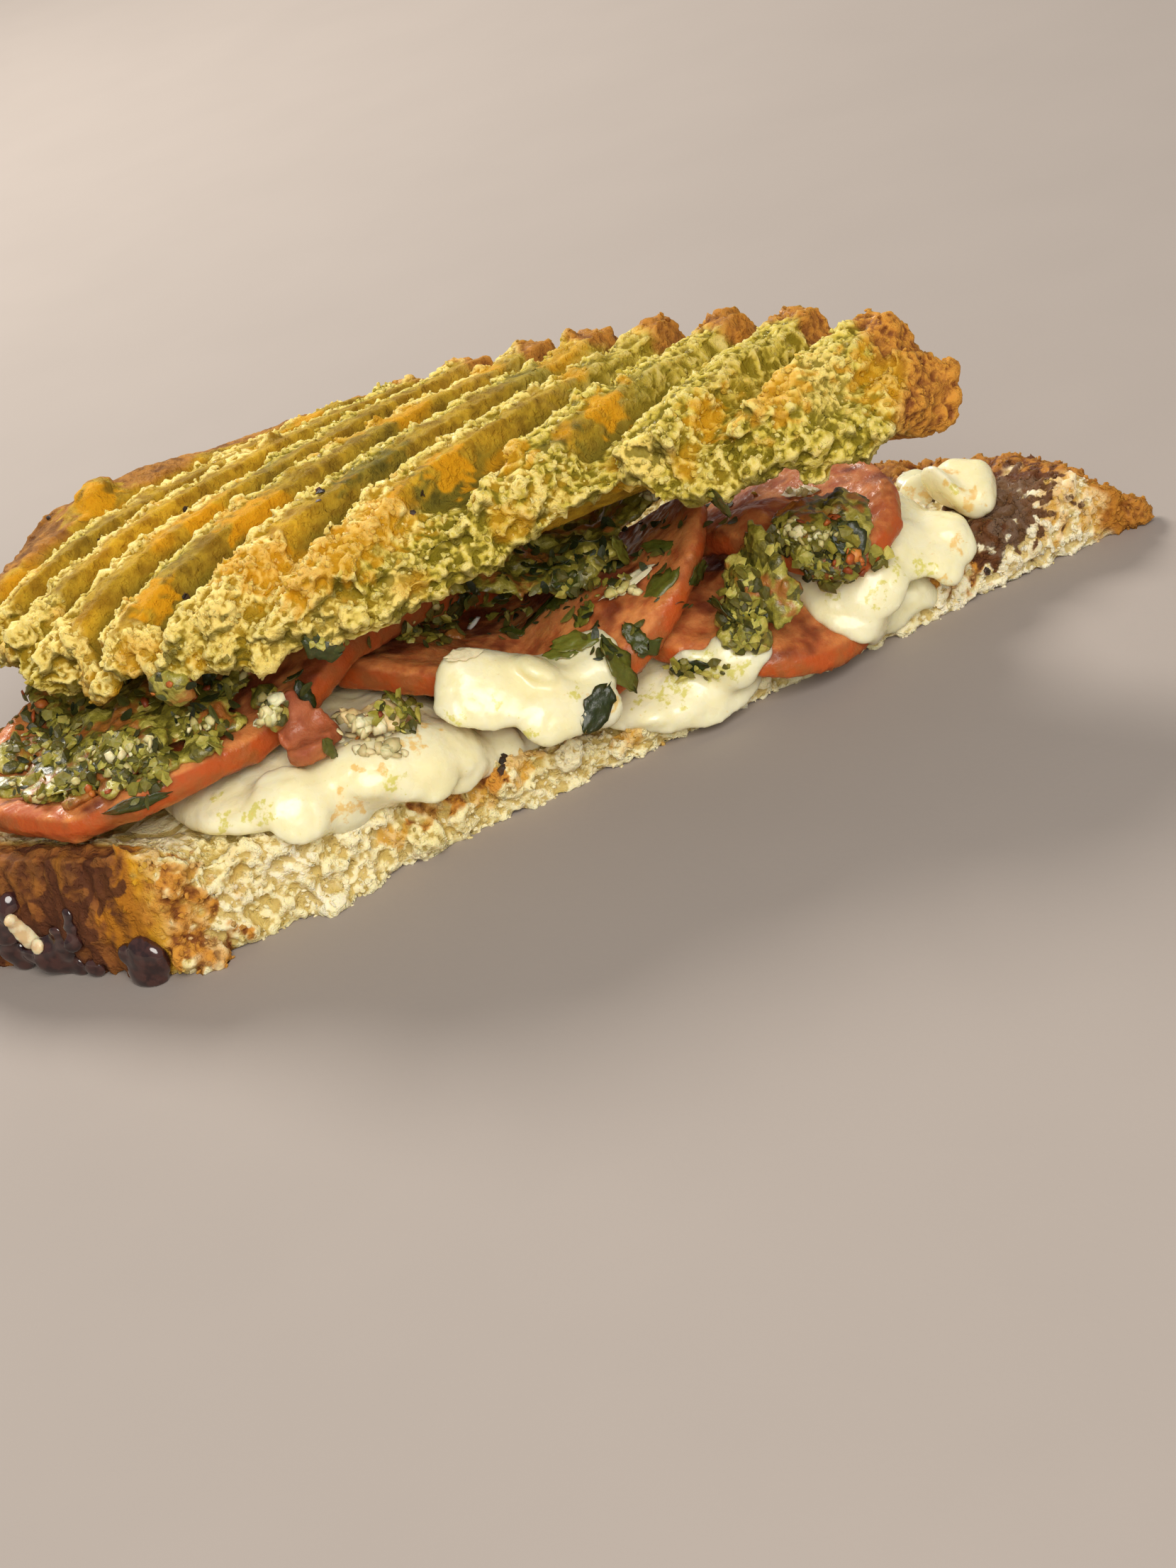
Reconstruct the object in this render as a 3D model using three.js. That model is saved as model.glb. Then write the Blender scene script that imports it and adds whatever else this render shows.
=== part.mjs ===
// Half of a pressed caprese panini: two grilled slices of white loaf, cut on the slant,
// with melted mozzarella, tomato slices and pesto between them. Millimetres, +Z up.
// The cut face looks towards -Y, and the lower slice rests flat on its grill ridges.

import * as THREE from 'three';

// Loaf and press
const cutLength = 142;              // the slanted cut, from the near crust to the far crust
const cutSlant = rad(50);           // between the cut and the loaf's long crust
const nearCrustLeft = 42;           // what the cut leaves of the near long crust
const loafDepth = cutLength * Math.sin(cutSlant);
const cutReach = cutLength * Math.cos(cutSlant);
const cornerRadius = 15;
const lowerBlunt = 1.2;             // each sharp end is this much short of a point
const upperBlunt = 6.5;
const grillPitch = 12;
const ridgeWidth = 4.6;
const flankWidth = 1.7;             // the sloping side between a ridge and a groove

// Lower slice
const lowerGroove = 2;
const lowerLeft = 12;               // height of the crumb by the left end of the cut
const lowerMiddle = 6;              // squeezed thin under the filling
const lowerRight = 7.8;
const crustLeft = 16.5;
const crustRight = 10.4;
const lowerCorner = 17.5;           // at the crust's corner with the cut
const lowerTip = 3;
const squashed = 3.2;               // lost along the middle of the cut

// Upper slice: it has slid back and turned, and lies domed over the filling
const upperShift = [-23.3, 17.2];
const upperTurn = rad(-14);
const upperCrown = 44.5;
const upperRise = 8.6;              // gained along the loaf, towards the pointed end
const upperFall = 1.6;              // lost towards the far crust
const upperBend = [4, 3.8];         // of the dome, along and across the loaf
const upperTwist = 1.4;
const upperDroop = 4;               // of the cut edge
const upperThickness = 15.5;
const edgeThickness = [             // along the cut: distance along the loaf, thickness
  [-36, 4], [-2, 4], [5, 7], [12, 7.4], [22, 5], [30, 7],
  [42, 9.4], [52, 8.6], [59, 5.4], [66, 6.6], [76, 8.6], [90, 8.8],
];
const upperGroove = 3.6;
const upperHeel = 36;
const tornSide = 28;                // the near corner is torn off this far in

const touchGap = 0.65;              // between pieces that lie on each other

// Filling in the order it is laid: middle, half axes, turn, thickness, how steeply it can
// hang, and how lobed, square and bumpy it is
const filling = {
  mozzarella_1: { at: [27.5, 12.3], size: [19, 15.5], turn: 2, thick: 4.6, hang: 0.6, wave: 0.04, square: 2.7 },
  mozzarella_3: { at: [75, 5.8], size: [13, 9.5], turn: -4, thick: 2.8, hang: 0.8, wave: 0.05 },
  tomato_3: { at: [89, 16.5], size: [20.5, 23], turn: 0, thick: 3.6, hang: 0.75, wave: 0.02 },
  mozzarella_4: { at: [103.5, 8.5], size: [12, 14], turn: 30, thick: 3, hang: 1, wave: 0.06 },
  tomato_4: { at: [97, 13], size: [12, 19.5], turn: 8, thick: 3.8, hang: 0.5, wave: 0.03 },
  tomato_2: { at: [60.5, 20], size: [28, 20.5], turn: -14, thick: 4.4, hang: 0.65, wave: 0.02 },
  mozzarella_2: { at: [54.5, 0.2], size: [13, 5.4], turn: -3, thick: 3.4, hang: 1.2, wave: 0.06 },
  tomato_1: { at: [29.5, 35.4], size: [44, 25], turn: 28, thick: 4.6, hang: 0.35, wave: 0.01, square: 2.6 },
  tomato_scrap: { at: [26, 2.5], size: [3.8, 3.2], turn: 30, thick: 2.4, hang: 3, wave: 0.1 },
  mozzarella_5: { at: [120, 7.5], size: [4.2, 5], turn: 20, thick: 5.2, hang: 3, wave: 0.1 },
  pesto_left: { at: [26, 36], size: [39, 20.5], turn: 28, thick: 1.7, hang: 0.4, wave: 0.1, lump: 1.5 },
  pesto_middle: { at: [62, 26], size: [22, 15], turn: -18, thick: 1.7, hang: 0.4, wave: 0.14, lump: 1.5 },
  pesto_right: { at: [96.5, -1.5], size: [6.6, 5.4], turn: -20, thick: 3, hang: 0.6, wave: 0.1, lump: 1.2 },
  pesto_edge: { at: [85.5, -3.2], size: [3, 5.5], turn: 10, thick: 2.4, hang: 2, wave: 0.1, lump: 0.8 },
  pesto_cheese: { at: [35.2, 2.6], size: [5, 2.8], turn: 15, thick: 2.4, hang: 3, wave: 0.1, lump: 0.8 },
};

const finishes = {
  bottom: [0xb8762f, 0.8],
  top: [0xd0a63f, 0.85],
  mozzarella: [0xf3ead0, 0.35],
  tomato: [0xbf4a24, 0.25],
  pesto: [0x565f22, 0.5],
};

function rad(degrees) {
  return degrees * Math.PI / 180;
}

function clamp(x, low, high) {
  return Math.min(Math.max(x, low), high);
}

function smooth(x) {
  const t = clamp(x, 0, 1);
  return t * t * (3 - 2 * t);
}

function mix(a, b, t) {
  return a + (b - a) * t;
}

// Value at x on a line through [x, value] points
function along(points, x) {
  const next = points.findIndex(([px]) => px > x);
  if (next < 1) {
    return points[next < 0 ? points.length - 1 : 0][1];
  }
  const [x0, y0] = points[next - 1];
  const [x1, y1] = points[next];
  return mix(y0, y1, (x - x0) / (x1 - x0));
}

// Smooth noise from -1 to 1, about one wiggle for each unit of x and y
function noise(x, y, seed) {
  const corner = (i, j) => {
    const wild = Math.sin(i * 127.1 + j * 311.7 + seed * 74.7) * 43758.5453;
    return 2 * (wild - Math.floor(wild)) - 1;
  };
  const i = Math.floor(x);
  const j = Math.floor(y);
  const s = smooth(x - i);
  const t = smooth(y - j);
  return mix(mix(corner(i, j), corner(i + 1, j), s), mix(corner(i, j + 1), corner(i + 1, j + 1), s), t);
}

// Loaf frame: a runs along the loaf's long crust and b across it, both from the near
// corner of the cut. Turning by the slant lays the cut along X.
function loafToTable(a, b, shift, turn) {
  const angle = cutSlant - turn;
  return [
    shift[0] + a * Math.cos(angle) + b * Math.sin(angle),
    shift[1] - a * Math.sin(angle) + b * Math.cos(angle),
  ];
}

function tableToLoaf(x, y, shift, turn) {
  const angle = cutSlant - turn;
  const dx = x - shift[0];
  const dy = y - shift[1];
  return [dx * Math.cos(angle) - dy * Math.sin(angle), dx * Math.sin(angle) + dy * Math.cos(angle)];
}

function cornerInset(fromHeel) {
  const e = clamp(fromHeel, 0, cornerRadius);
  return cornerRadius - Math.sqrt(cornerRadius ** 2 - (cornerRadius - e) ** 2);
}

// 1 on a ridge, 0 in a groove
function grill(a, phase) {
  const fromRidge = Math.abs(((a - phase) % grillPitch + 1.5 * grillPitch) % grillPitch - grillPitch / 2);
  return smooth(1 - (fromRidge - ridgeWidth / 2) / flankWidth);
}

// Stations along the loaf: close together round the heel's corners, then at each
// ridge's and groove's edges
function stations(heel, phase, blunt) {
  const list = [0, 0.7, 2.4, 5, 8.4].map((e) => e - heel);
  const steps = [0, ridgeWidth / 2, ridgeWidth / 2 + flankWidth, grillPitch / 2];
  const end = cutReach - blunt;
  for (let ridge = -4; ridge < 10; ridge += 1) {
    const middle = phase + ridge * grillPitch;
    const before = steps.slice(1).reverse().map((s) => middle - s);
    const after = steps.slice(0, 3).map((s) => middle + s);
    for (const a of [...before, ...after]) {
      if (a > 10.5 - heel && a < end - 0.8 && a > list[list.length - 1] + 0.6) {
        list.push(a);
      }
    }
  }
  list.push(end);
  return list;
}

// A closed slice of bread over a grid of stations by rows. `near` and `far` bound each
// station, `top` and `under` give heights, and `skin` moves a point of the side wall.
function breadSlice(slice) {
  const rows = [0, 0.035, 0.11, 0.24, 0.4, 0.57, 0.73, 0.86, 0.95, 1];
  const walls = [0.16, 0.5, 0.84];
  const columns = stations(slice.heel, slice.phase, slice.blunt);
  const points = [];
  const faces = [];
  const grid = (height) => columns.map((a) => rows.map((t) => {
    const b = mix(slice.near(a), slice.far(a), t);
    const [x, y] = loafToTable(a, b, slice.shift, slice.turn);
    return points.push([x, y, height(a, b)]) - 1;
  }));
  const quad = (p, q, r, s) => {
    faces.push(p, q, r, p, r, s);
  };
  const upper = grid(slice.top);
  const lower = grid(slice.under);
  const last = rows.length - 1;
  for (let i = 0; i + 1 < columns.length; i += 1) {
    for (let j = 0; j < last; j += 1) {
      quad(upper[i][j], upper[i + 1][j], upper[i + 1][j + 1], upper[i][j + 1]);
      quad(lower[i][j], lower[i][j + 1], lower[i + 1][j + 1], lower[i + 1][j]);
    }
  }
  const rim = [];
  columns.forEach((a, i) => rim.push([i, 0]));
  rows.slice(1).forEach((t, j) => rim.push([columns.length - 1, j + 1]));
  columns.slice(0, -1).reverse().forEach((a, i) => rim.push([columns.length - 2 - i, last]));
  rows.slice(1, -1).reverse().forEach((t, j) => rim.push([0, last - 1 - j]));
  const rings = [rim.map(([i, j]) => upper[i][j])];
  for (const f of walls) {
    rings.push(rim.map(([i, j], k) => {
      const high = points[upper[i][j]];
      const low = points[lower[i][j]];
      const before = points[rings[0][(k + rim.length - 1) % rim.length]];
      const after = points[rings[0][(k + 1) % rim.length]];
      const edge = new THREE.Vector2(after[0] - before[0], after[1] - before[1]).normalize();
      const out = slice.skin(columns[i], j / last, f, k);
      return points.push([
        mix(high[0], low[0], f) + edge.y * out,
        mix(high[1], low[1], f) - edge.x * out,
        mix(high[2], low[2], f),
      ]) - 1;
    }));
  }
  rings.push(rim.map(([i, j]) => lower[i][j]));
  for (let r = 0; r + 1 < rings.length; r += 1) {
    for (let k = 0; k < rim.length; k += 1) {
      const n = (k + 1) % rim.length;
      quad(rings[r][k], rings[r + 1][k], rings[r + 1][n], rings[r][n]);
    }
  }
  return closedGeometry(points, faces);
}

function closedGeometry(points, faces) {
  const geometry = new THREE.BufferGeometry();
  geometry.setAttribute('position', new THREE.Float32BufferAttribute(points.flat(), 3));
  geometry.setIndex(faces);
  geometry.computeVertexNormals();
  return geometry;
}

// Lower slice
function lowerFar(a) {
  return loafDepth - cornerInset(a + nearCrustLeft) + 0.5 * noise(a / 7, 1, 5);
}

function lowerNear(a) {
  if (a < 0) {
    return cornerInset(a + nearCrustLeft);
  }
  const bulge = 2.6 * smooth(a / 3) * smooth((22 - a) / 9);
  return a * Math.tan(cutSlant) - bulge + 0.9 * noise(a / 3.2, 2, 8);
}

function lowerTop(a, b) {
  const farther = lowerFar(a) - b;
  const fromHeel = a + nearCrustLeft;
  const fromNear = a < 0 ? b : (b - lowerNear(a)) * Math.cos(cutSlant);
  const fromCrust = a < 0 ? b : Math.hypot(a, b);
  const [x] = loafToTable(a, b, [0, 0], 0);
  const left = mix(lowerLeft, lowerMiddle, smooth((x - 26) / 36));
  const middle = mix(left, lowerRight, smooth((x - 92) / 16));
  const crustTop = mix(crustLeft, crustRight, smooth((x - 10) / 80));
  const crust = Math.max(1 - farther / 17, 1 - fromHeel / 15, 1 - fromCrust / 9);
  const corner = smooth(1 - Math.hypot(a, b) / 10) * (lowerCorner - crustLeft);
  const tip = smooth(1 - (cutLength - x) / 10) * (crustRight - lowerTip);
  const press = squashed * smooth((x - 50) / 14) * smooth((108 - x) / 8) * smooth(1 - fromNear / 12);
  return mix(middle, crustTop, smooth(crust * 1.3)) + corner - tip - press + 0.3 * noise(x / 4, b / 4, 3);
}

function lowerUnder(a, b) {
  const edge = Math.min(lowerFar(a) - b, b - lowerNear(a), a + nearCrustLeft);
  return lowerGroove * (1 - grill(a, 0)) * smooth(edge / 9);
}

const lowerSlice = {
  heel: nearCrustLeft,
  blunt: lowerBlunt,
  phase: 0,
  shift: [0, 0],
  turn: 0,
  near: lowerNear,
  far: lowerFar,
  top: lowerTop,
  under: lowerUnder,
  skin: (a, t, f, k) => (t === 0 && a > 0
    ? (a < 40 ? 1.2 : 0.5) * noise(k * 0.9, f * 3, 11)
    : 1.5 * Math.sin(Math.PI * f) + 0.5 * noise(k * 0.8, f, 12)),
};

// Filling: everything is laid down in turn on a height map of what is already there
const mapStep = 1;
const mapLow = [-45, -25];
const mapCount = [200, 140];
const bare = -60;
const heights = new Float64Array(mapCount[0] * mapCount[1]).fill(bare);

function mapPoint(i, j) {
  return [mapLow[0] + i * mapStep, mapLow[1] + j * mapStep];
}

function insideLower(x, y) {
  const [a, b] = tableToLoaf(x, y, [0, 0], 0);
  return a > -nearCrustLeft && a < cutReach && b > lowerNear(a) && b < lowerFar(a);
}

function layBread() {
  for (let i = 0; i < mapCount[0]; i += 1) {
    for (let j = 0; j < mapCount[1]; j += 1) {
      const [x, y] = mapPoint(i, j);
      if (insideLower(x, y)) {
        heights[i + j * mapCount[0]] = lowerTop(...tableToLoaf(x, y, [0, 0], 0));
      }
    }
  }
}

// The lowest surface over (x, y) that clears all that lies below and slopes no more than `hang`
function drape(x, y, hang) {
  const reach = 16;
  const i0 = Math.round((x - mapLow[0]) / mapStep);
  const j0 = Math.round((y - mapLow[1]) / mapStep);
  const cells = Math.ceil(reach / mapStep);
  let best = bare;
  for (let i = Math.max(i0 - cells, 0); i <= Math.min(i0 + cells, mapCount[0] - 1); i += 1) {
    for (let j = Math.max(j0 - cells, 0); j <= Math.min(j0 + cells, mapCount[1] - 1); j += 1) {
      const [px, py] = mapPoint(i, j);
      const away = Math.max(Math.hypot(px - x, py - y) - mapStep, 0);
      best = Math.max(best, heights[i + j * mapCount[0]] - hang * away);
    }
  }
  return best + touchGap;
}

function outline(piece, angle) {
  const [sx, sy] = piece.size;
  const n = piece.square ?? 2;
  const oval = (Math.abs(Math.cos(angle) / sx) ** n + Math.abs(Math.sin(angle) / sy) ** n) ** (-1 / n);
  const seed = piece.at[0];
  const lobes = Math.cos(3 * angle + seed) + 0.7 * Math.cos(5 * angle + 2 * seed)
    + 0.4 * Math.cos(8 * angle + seed);
  return oval * (1 + piece.wave * lobes);
}

function around(piece, angle, share) {
  const r = outline(piece, angle) * share;
  const world = angle + rad(piece.turn);
  return [piece.at[0] + r * Math.cos(world), piece.at[1] + r * Math.sin(world)];
}

// A soft slab draped on what lies below: `rings` gives, for each ring out from the
// middle, its share of the outline and its height in the slab's thickness
function slab(piece, segments, topRings, underRings, lump) {
  const points = [];
  const faces = [];
  const ring = (share, level) => {
    const made = [];
    for (let k = 0; k < segments; k += 1) {
      const [x, y] = around(piece, 2 * Math.PI * k / segments, share);
      const base = drape(x, y, piece.hang);
      const bump = level > 0.5 ? lump * noise(x / 2.4, y / 2.4, 21) * (1 - share ** 4) : 0;
      made.push(points.push([x, y, base + Math.max(piece.thick * level + bump, 0.3 * level)]) - 1);
    }
    return made;
  };
  const [cx, cy] = piece.at;
  const crown = points.push([cx, cy, drape(cx, cy, piece.hang) + piece.thick * topRings[0][1]]) - 1;
  const sole = points.push([cx, cy, drape(cx, cy, piece.hang)]) - 1;
  const rings = [...topRings, ...underRings].map(([share, level]) => ring(share, level));
  for (let k = 0; k < segments; k += 1) {
    const n = (k + 1) % segments;
    faces.push(crown, rings[0][k], rings[0][n]);
    for (let r = 0; r + 1 < rings.length; r += 1) {
      faces.push(rings[r][k], rings[r + 1][k], rings[r + 1][n], rings[r][k], rings[r + 1][n], rings[r][n]);
    }
    faces.push(sole, rings[rings.length - 1][n], rings[rings.length - 1][k]);
  }
  raiseMap(piece, lump);
  return closedGeometry(points, faces);
}

// What lies below now includes this piece
function raiseMap(piece, lump) {
  const next = Float64Array.from(heights);
  for (let i = 0; i < mapCount[0]; i += 1) {
    for (let j = 0; j < mapCount[1]; j += 1) {
      const [x, y] = mapPoint(i, j);
      const dx = x - piece.at[0];
      const dy = y - piece.at[1];
      const angle = Math.atan2(dy, dx) - rad(piece.turn);
      if (Math.hypot(dx, dy) < outline(piece, angle) + 0.4) {
        next[i + j * mapCount[0]] = drape(x, y, piece.hang) + piece.thick + 0.6 * lump;
      }
    }
  }
  heights.set(next);
}

function tomatoSlice(piece) {
  const top = [[0.3, 0.9], [0.6, 0.86], [0.82, 0.9], [0.93, 1], [0.985, 0.86]];
  const under = [[1, 0.45], [0.975, 0.06], [0.9, 0], [0.68, 0], [0.36, 0]];
  return slab(piece, piece.size[0] > 15 ? 32 : 26, top, under, 0);
}

function cheesePatch(piece) {
  const top = [[0.35, 1], [0.62, 0.96], [0.82, 0.84], [0.94, 0.62]];
  const under = [[1, 0.3], [0.96, 0.06], [0.8, 0], [0.45, 0]];
  return slab(piece, 26, top, under, 0.9);
}

function pestoHeap(piece) {
  const big = piece.size[0] > 10;
  const top = big
    ? [[0.12, 1], [0.25, 1], [0.38, 1], [0.51, 1], [0.63, 0.95], [0.74, 0.9], [0.85, 0.8], [0.94, 0.6]]
    : [[0.4, 1], [0.75, 0.8]];
  const under = big ? [[1, 0.12], [0.9, 0], [0.7, 0], [0.4, 0]] : [[1, 0.3], [0.7, 0]];
  return slab(piece, big ? 36 : 14, top, under, piece.lump);
}

// Upper slice
function upperFar(a) {
  return loafDepth - cornerInset(a + upperHeel) + 0.8 * noise(a / 6, 4, 15);
}

function upperNear(a) {
  const scallop = 3.4 + 3 * Math.cos(2 * Math.PI * (a - 40) / 38);
  const cut = a * Math.tan(cutSlant) - scallop / Math.cos(cutSlant) * smooth((a - 12) / 14);
  const torn = tornSide - 0.25 * Math.min(a, 0) + 1.5 * noise(a / 5, 6, 31);
  const ragged = 1.6 * noise(a / 2.6, 3, 18);
  return clamp(Math.max(cut, torn) + ragged, 0, upperFar(a) - 4);
}

function upperSkinHeight(a, b) {
  const u = (a - 30) / 60;
  const v = (b - 60) / 50;
  const fromCut = (b - upperNear(a)) * Math.cos(cutSlant);
  return upperCrown + upperRise * u - upperFall * v - upperBend[0] * u ** 2 - upperBend[1] * v ** 2
    + upperTwist * u * v - upperDroop * clamp(1 - fromCut / 14, 0, 1) ** 2;
}

function upperTop(a, b) {
  const edge = Math.min(upperFar(a) - b, a + upperHeel);
  const groove = upperGroove * (1 - grill(a, upperPhase)) * smooth((a + upperHeel) / 7);
  const round = 1.2 * smooth(1 - edge / 3);
  const farLift = 2.4 * smooth(1 - (upperFar(a) - b) / 9) * smooth((a + 5) / 20) * smooth((82 - a) / 14);
  const heelLift = 3.5 * smooth((-24 - a) / 10) * smooth((b - 50) / 9) * smooth((92 - b) / 22);
  return upperSkinHeight(a, b) - groove - round + farLift + heelLift + 0.45 * noise(a / 2, b / 3, 41);
}

function upperUnder(a, b) {
  const [x, y] = loafToTable(a, b, upperShift, upperTurn);
  const hanging = 1.4 * noise(a / 2.8, b / 9, 51) * smooth(1 - (b - upperNear(a)) / 6);
  const inward = smooth((b - upperNear(a)) * Math.cos(cutSlant) / 16);
  const thickness = mix(along(edgeThickness, a), upperThickness, inward);
  const own = upperSkinHeight(a, b) - thickness + 1.2 * noise(a / 9, b / 9, 52) + hanging;
  return Math.max(own, drape(x, y, 0.5) + 0.2);
}

const upperPhase = 78.5 - 6 * grillPitch;

const upperSlice = {
  heel: upperHeel,
  blunt: upperBlunt,
  phase: upperPhase,
  shift: upperShift,
  turn: upperTurn,
  near: upperNear,
  far: upperFar,
  top: upperTop,
  under: upperUnder,
  skin: (a, t, f, k) => (t === 0
    ? 1.7 * noise(k * 0.9, f * 4, 61)
    : 1.8 * Math.sin(Math.PI * f) + 0.6 * noise(k * 0.7, f, 62)),
};

const makers = { mozzarella: cheesePatch, tomato: tomatoSlice, pesto: pestoHeap };

function addPiece(group, name, geometry) {
  const [color, roughness] = finishes[name.split('_')[0]];
  const material = new THREE.MeshStandardMaterial({ color, roughness, metalness: 0 });
  const mesh = new THREE.Mesh(geometry, material);
  mesh.name = name;
  group.add(mesh);
}

const panini = new THREE.Group();
addPiece(panini, 'bottom_slice', breadSlice(lowerSlice));
layBread();
for (const [name, piece] of Object.entries(filling)) {
  addPiece(panini, name, makers[name.split('_')[0]](piece));
}
addPiece(panini, 'top_slice', breadSlice(upperSlice));

// The origin is the middle of the half's bottom
panini.updateMatrixWorld(true);
const bounds = new THREE.Box3().setFromObject(panini);
const middle = bounds.getCenter(new THREE.Vector3());
panini.position.set(-middle.x, -middle.y, -bounds.min.z);

export default panini;
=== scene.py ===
import math
import bpy
import bmesh
import numpy as np
from mathutils import Matrix, Vector, noise


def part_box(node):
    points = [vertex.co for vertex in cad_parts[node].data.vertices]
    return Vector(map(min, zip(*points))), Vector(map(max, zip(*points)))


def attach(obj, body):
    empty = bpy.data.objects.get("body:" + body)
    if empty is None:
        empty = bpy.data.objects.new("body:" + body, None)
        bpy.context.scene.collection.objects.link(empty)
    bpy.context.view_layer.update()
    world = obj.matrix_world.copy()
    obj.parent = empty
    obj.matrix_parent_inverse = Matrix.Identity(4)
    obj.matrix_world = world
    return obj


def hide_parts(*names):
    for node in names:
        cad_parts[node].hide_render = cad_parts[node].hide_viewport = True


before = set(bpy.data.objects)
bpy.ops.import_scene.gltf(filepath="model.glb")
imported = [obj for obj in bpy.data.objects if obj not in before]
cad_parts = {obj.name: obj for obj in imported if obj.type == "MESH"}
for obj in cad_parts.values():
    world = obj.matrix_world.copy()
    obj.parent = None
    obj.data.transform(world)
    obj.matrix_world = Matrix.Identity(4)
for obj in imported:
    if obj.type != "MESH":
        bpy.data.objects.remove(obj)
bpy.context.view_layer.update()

mm = 0.001
ridgePitch = 12                        # of the press, in mm
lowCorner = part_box("bottom_slice")[0]
cutStart = Vector((lowCorner.x + 22.56 * mm, lowCorner.y + 2.6 * mm, 0))   # left end of the cut


# camera, light and floor

view = {
    "spot": (-0.0903, -0.3578, 0.1781),
    "right": (0.8816, -0.3907, -0.265),
    "up": (0.4106, 0.3569, 0.839),
    "pixels": (1659, 2212),
    "focal": 4200,                    # in pixels of the frame
}
studio = {
    "key": {"at": (-0.06, 0.52, 0.47), "size": 0.26, "watts": 5.4, "tint": (1.0, 0.96, 0.90)},
    "front": {"at": (-0.12, -0.70, 0.52), "size": 0.60, "watts": 7.6, "tint": (1.0, 0.96, 0.90)},
    "sky": (0.96, 0.98, 1.0),
    "skyStrength": 0.26,
    "floor": (0.36, 0.31, 0.275),
}


def cameraAxes():
    right = Vector(view["right"]).normalized()
    up = Vector(view["up"])
    up = (up - right * up.dot(right)).normalized()
    return right, up, right.cross(up)


def addCamera():
    right, up, back = cameraAxes()
    data = bpy.data.cameras.new("camera")
    data.sensor_width = 36
    data.lens = view["focal"] / view["pixels"][1] * 36
    data.clip_start, data.clip_end = 0.01, 20
    cam = bpy.data.objects.new("camera", data)
    bpy.context.scene.collection.objects.link(cam)
    turn = Matrix((right, up, back)).transposed().to_4x4()
    cam.matrix_world = Matrix.Translation(view["spot"]) @ turn
    bpy.context.scene.camera = cam


def sightLine(px, py):
    right, up, back = cameraAxes()
    x = (px - view["pixels"][0] / 2) / view["focal"]
    y = -(py - view["pixels"][1] / 2) / view["focal"]
    return Vector(view["spot"]), (right * x + up * y - back).normalized()


def addLight(name, lamp):
    data = bpy.data.lights.new(name, "AREA")
    data.shape = "DISK"
    data.size, data.energy, data.color = lamp["size"], lamp["watts"], lamp["tint"]
    obj = bpy.data.objects.new(name, data)
    bpy.context.scene.collection.objects.link(obj)
    obj.location = lamp["at"]
    obj.rotation_mode = "QUATERNION"
    obj.rotation_quaternion = (-Vector(lamp["at"])).to_track_quat("-Z", "Y")


def addSky():
    world = bpy.data.worlds.new("sky")
    world.use_nodes = True
    sky = world.node_tree.nodes["Background"]
    sky.inputs["Color"].default_value = (*studio["sky"], 1)
    sky.inputs["Strength"].default_value = studio["skyStrength"]
    bpy.context.scene.world = world
    bpy.context.scene.view_settings.view_transform = "Standard"


# shader maths: a wire is one socket, a board is one material

class Wire:
    def __init__(self, board, socket):
        self.board, self.socket = board, socket

    def maths(self, operation, *values):
        return self.board.node("ShaderNodeMath", {"operation": operation}, dict(enumerate(values)))

    def __add__(self, other):
        return self.maths("ADD", self, other)

    def __sub__(self, other):
        return self.maths("SUBTRACT", self, other)

    def __rsub__(self, other):
        return self.maths("SUBTRACT", other, self)

    def __mul__(self, other):
        return self.maths("MULTIPLY", self, other)

    def __abs__(self):
        return self.maths("ABSOLUTE", self)

    __radd__, __rmul__ = __add__, __mul__

    def span(self, low, high, out=(0, 1)):                 # smooth step from low to high
        return self.board.node("ShaderNodeMapRange", {"interpolation_type": "SMOOTHSTEP"},
                               {0: self, 1: low, 2: high, 3: out[0], 4: out[1]})


class Board:
    def __init__(self, name, **finish):
        self.material = bpy.data.materials.new(name)
        self.material.use_nodes = True
        self.tree = self.material.node_tree
        self.shader = self.tree.nodes["Principled BSDF"]
        for key, value in finish.items():
            self.shader.inputs[key.replace("_", " ")].default_value = value
        place = self.node("ShaderNodeTexCoord", output="Object")
        self.place = self.node("ShaderNodeVectorMath", {"operation": "SCALE"}, {0: place, "Scale": 1000})

    def node(self, kind, settings=None, inputs=None, output=0):
        made = self.tree.nodes.new(kind)
        for key, value in (settings or {}).items():
            setattr(made, key, value)
        for key, value in (inputs or {}).items():
            if isinstance(value, Wire):
                self.tree.links.new(value.socket, made.inputs[key])
            elif isinstance(value, tuple) and len(value) == 3 and made.inputs[key].type == "RGBA":
                made.inputs[key].default_value = (*value, 1)
            else:
                made.inputs[key].default_value = value
        return Wire(self, made.outputs[output])

    def mask(self, name):                                  # a value kept on the mesh's points
        return self.node("ShaderNodeAttribute", {"attribute_name": name}, output="Fac")

    def noise(self, size, detail=2.0, rough=0.5):          # size in millimetres
        return self.node("ShaderNodeTexNoise", None, {"Vector": self.place, "Scale": 1 / size,
                                                      "Detail": detail, "Roughness": rough}, "Fac")

    def mix(self, below, above, share):
        return self.node("ShaderNodeMix", {"data_type": "RGBA"}, {0: share, 6: below, 7: above}, 2)

    def ramp(self, value, *stops):                         # stops: (place, colour)
        made = self.node("ShaderNodeValToRGB", None, {0: value})
        points = made.socket.node.color_ramp.elements
        while len(points) < len(stops):
            points.new(0.5)
        for point, (place, colour) in zip(points, stops):
            point.position, point.color = place, (*colour, 1)
        return made

    def bump(self, height, depth, strength=1.0, under=None):   # depth in millimetres
        inputs = {"Height": height, "Distance": depth * mm, "Strength": strength}
        if under:
            inputs["Normal"] = under
        return self.node("ShaderNodeBump", None, inputs)

    def feed(self, **wires):
        for key, wire in wires.items():
            self.tree.links.new(wire.socket, self.shader.inputs[key.replace("_", " ")])
        return self.material


# reading and writing meshes

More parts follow.
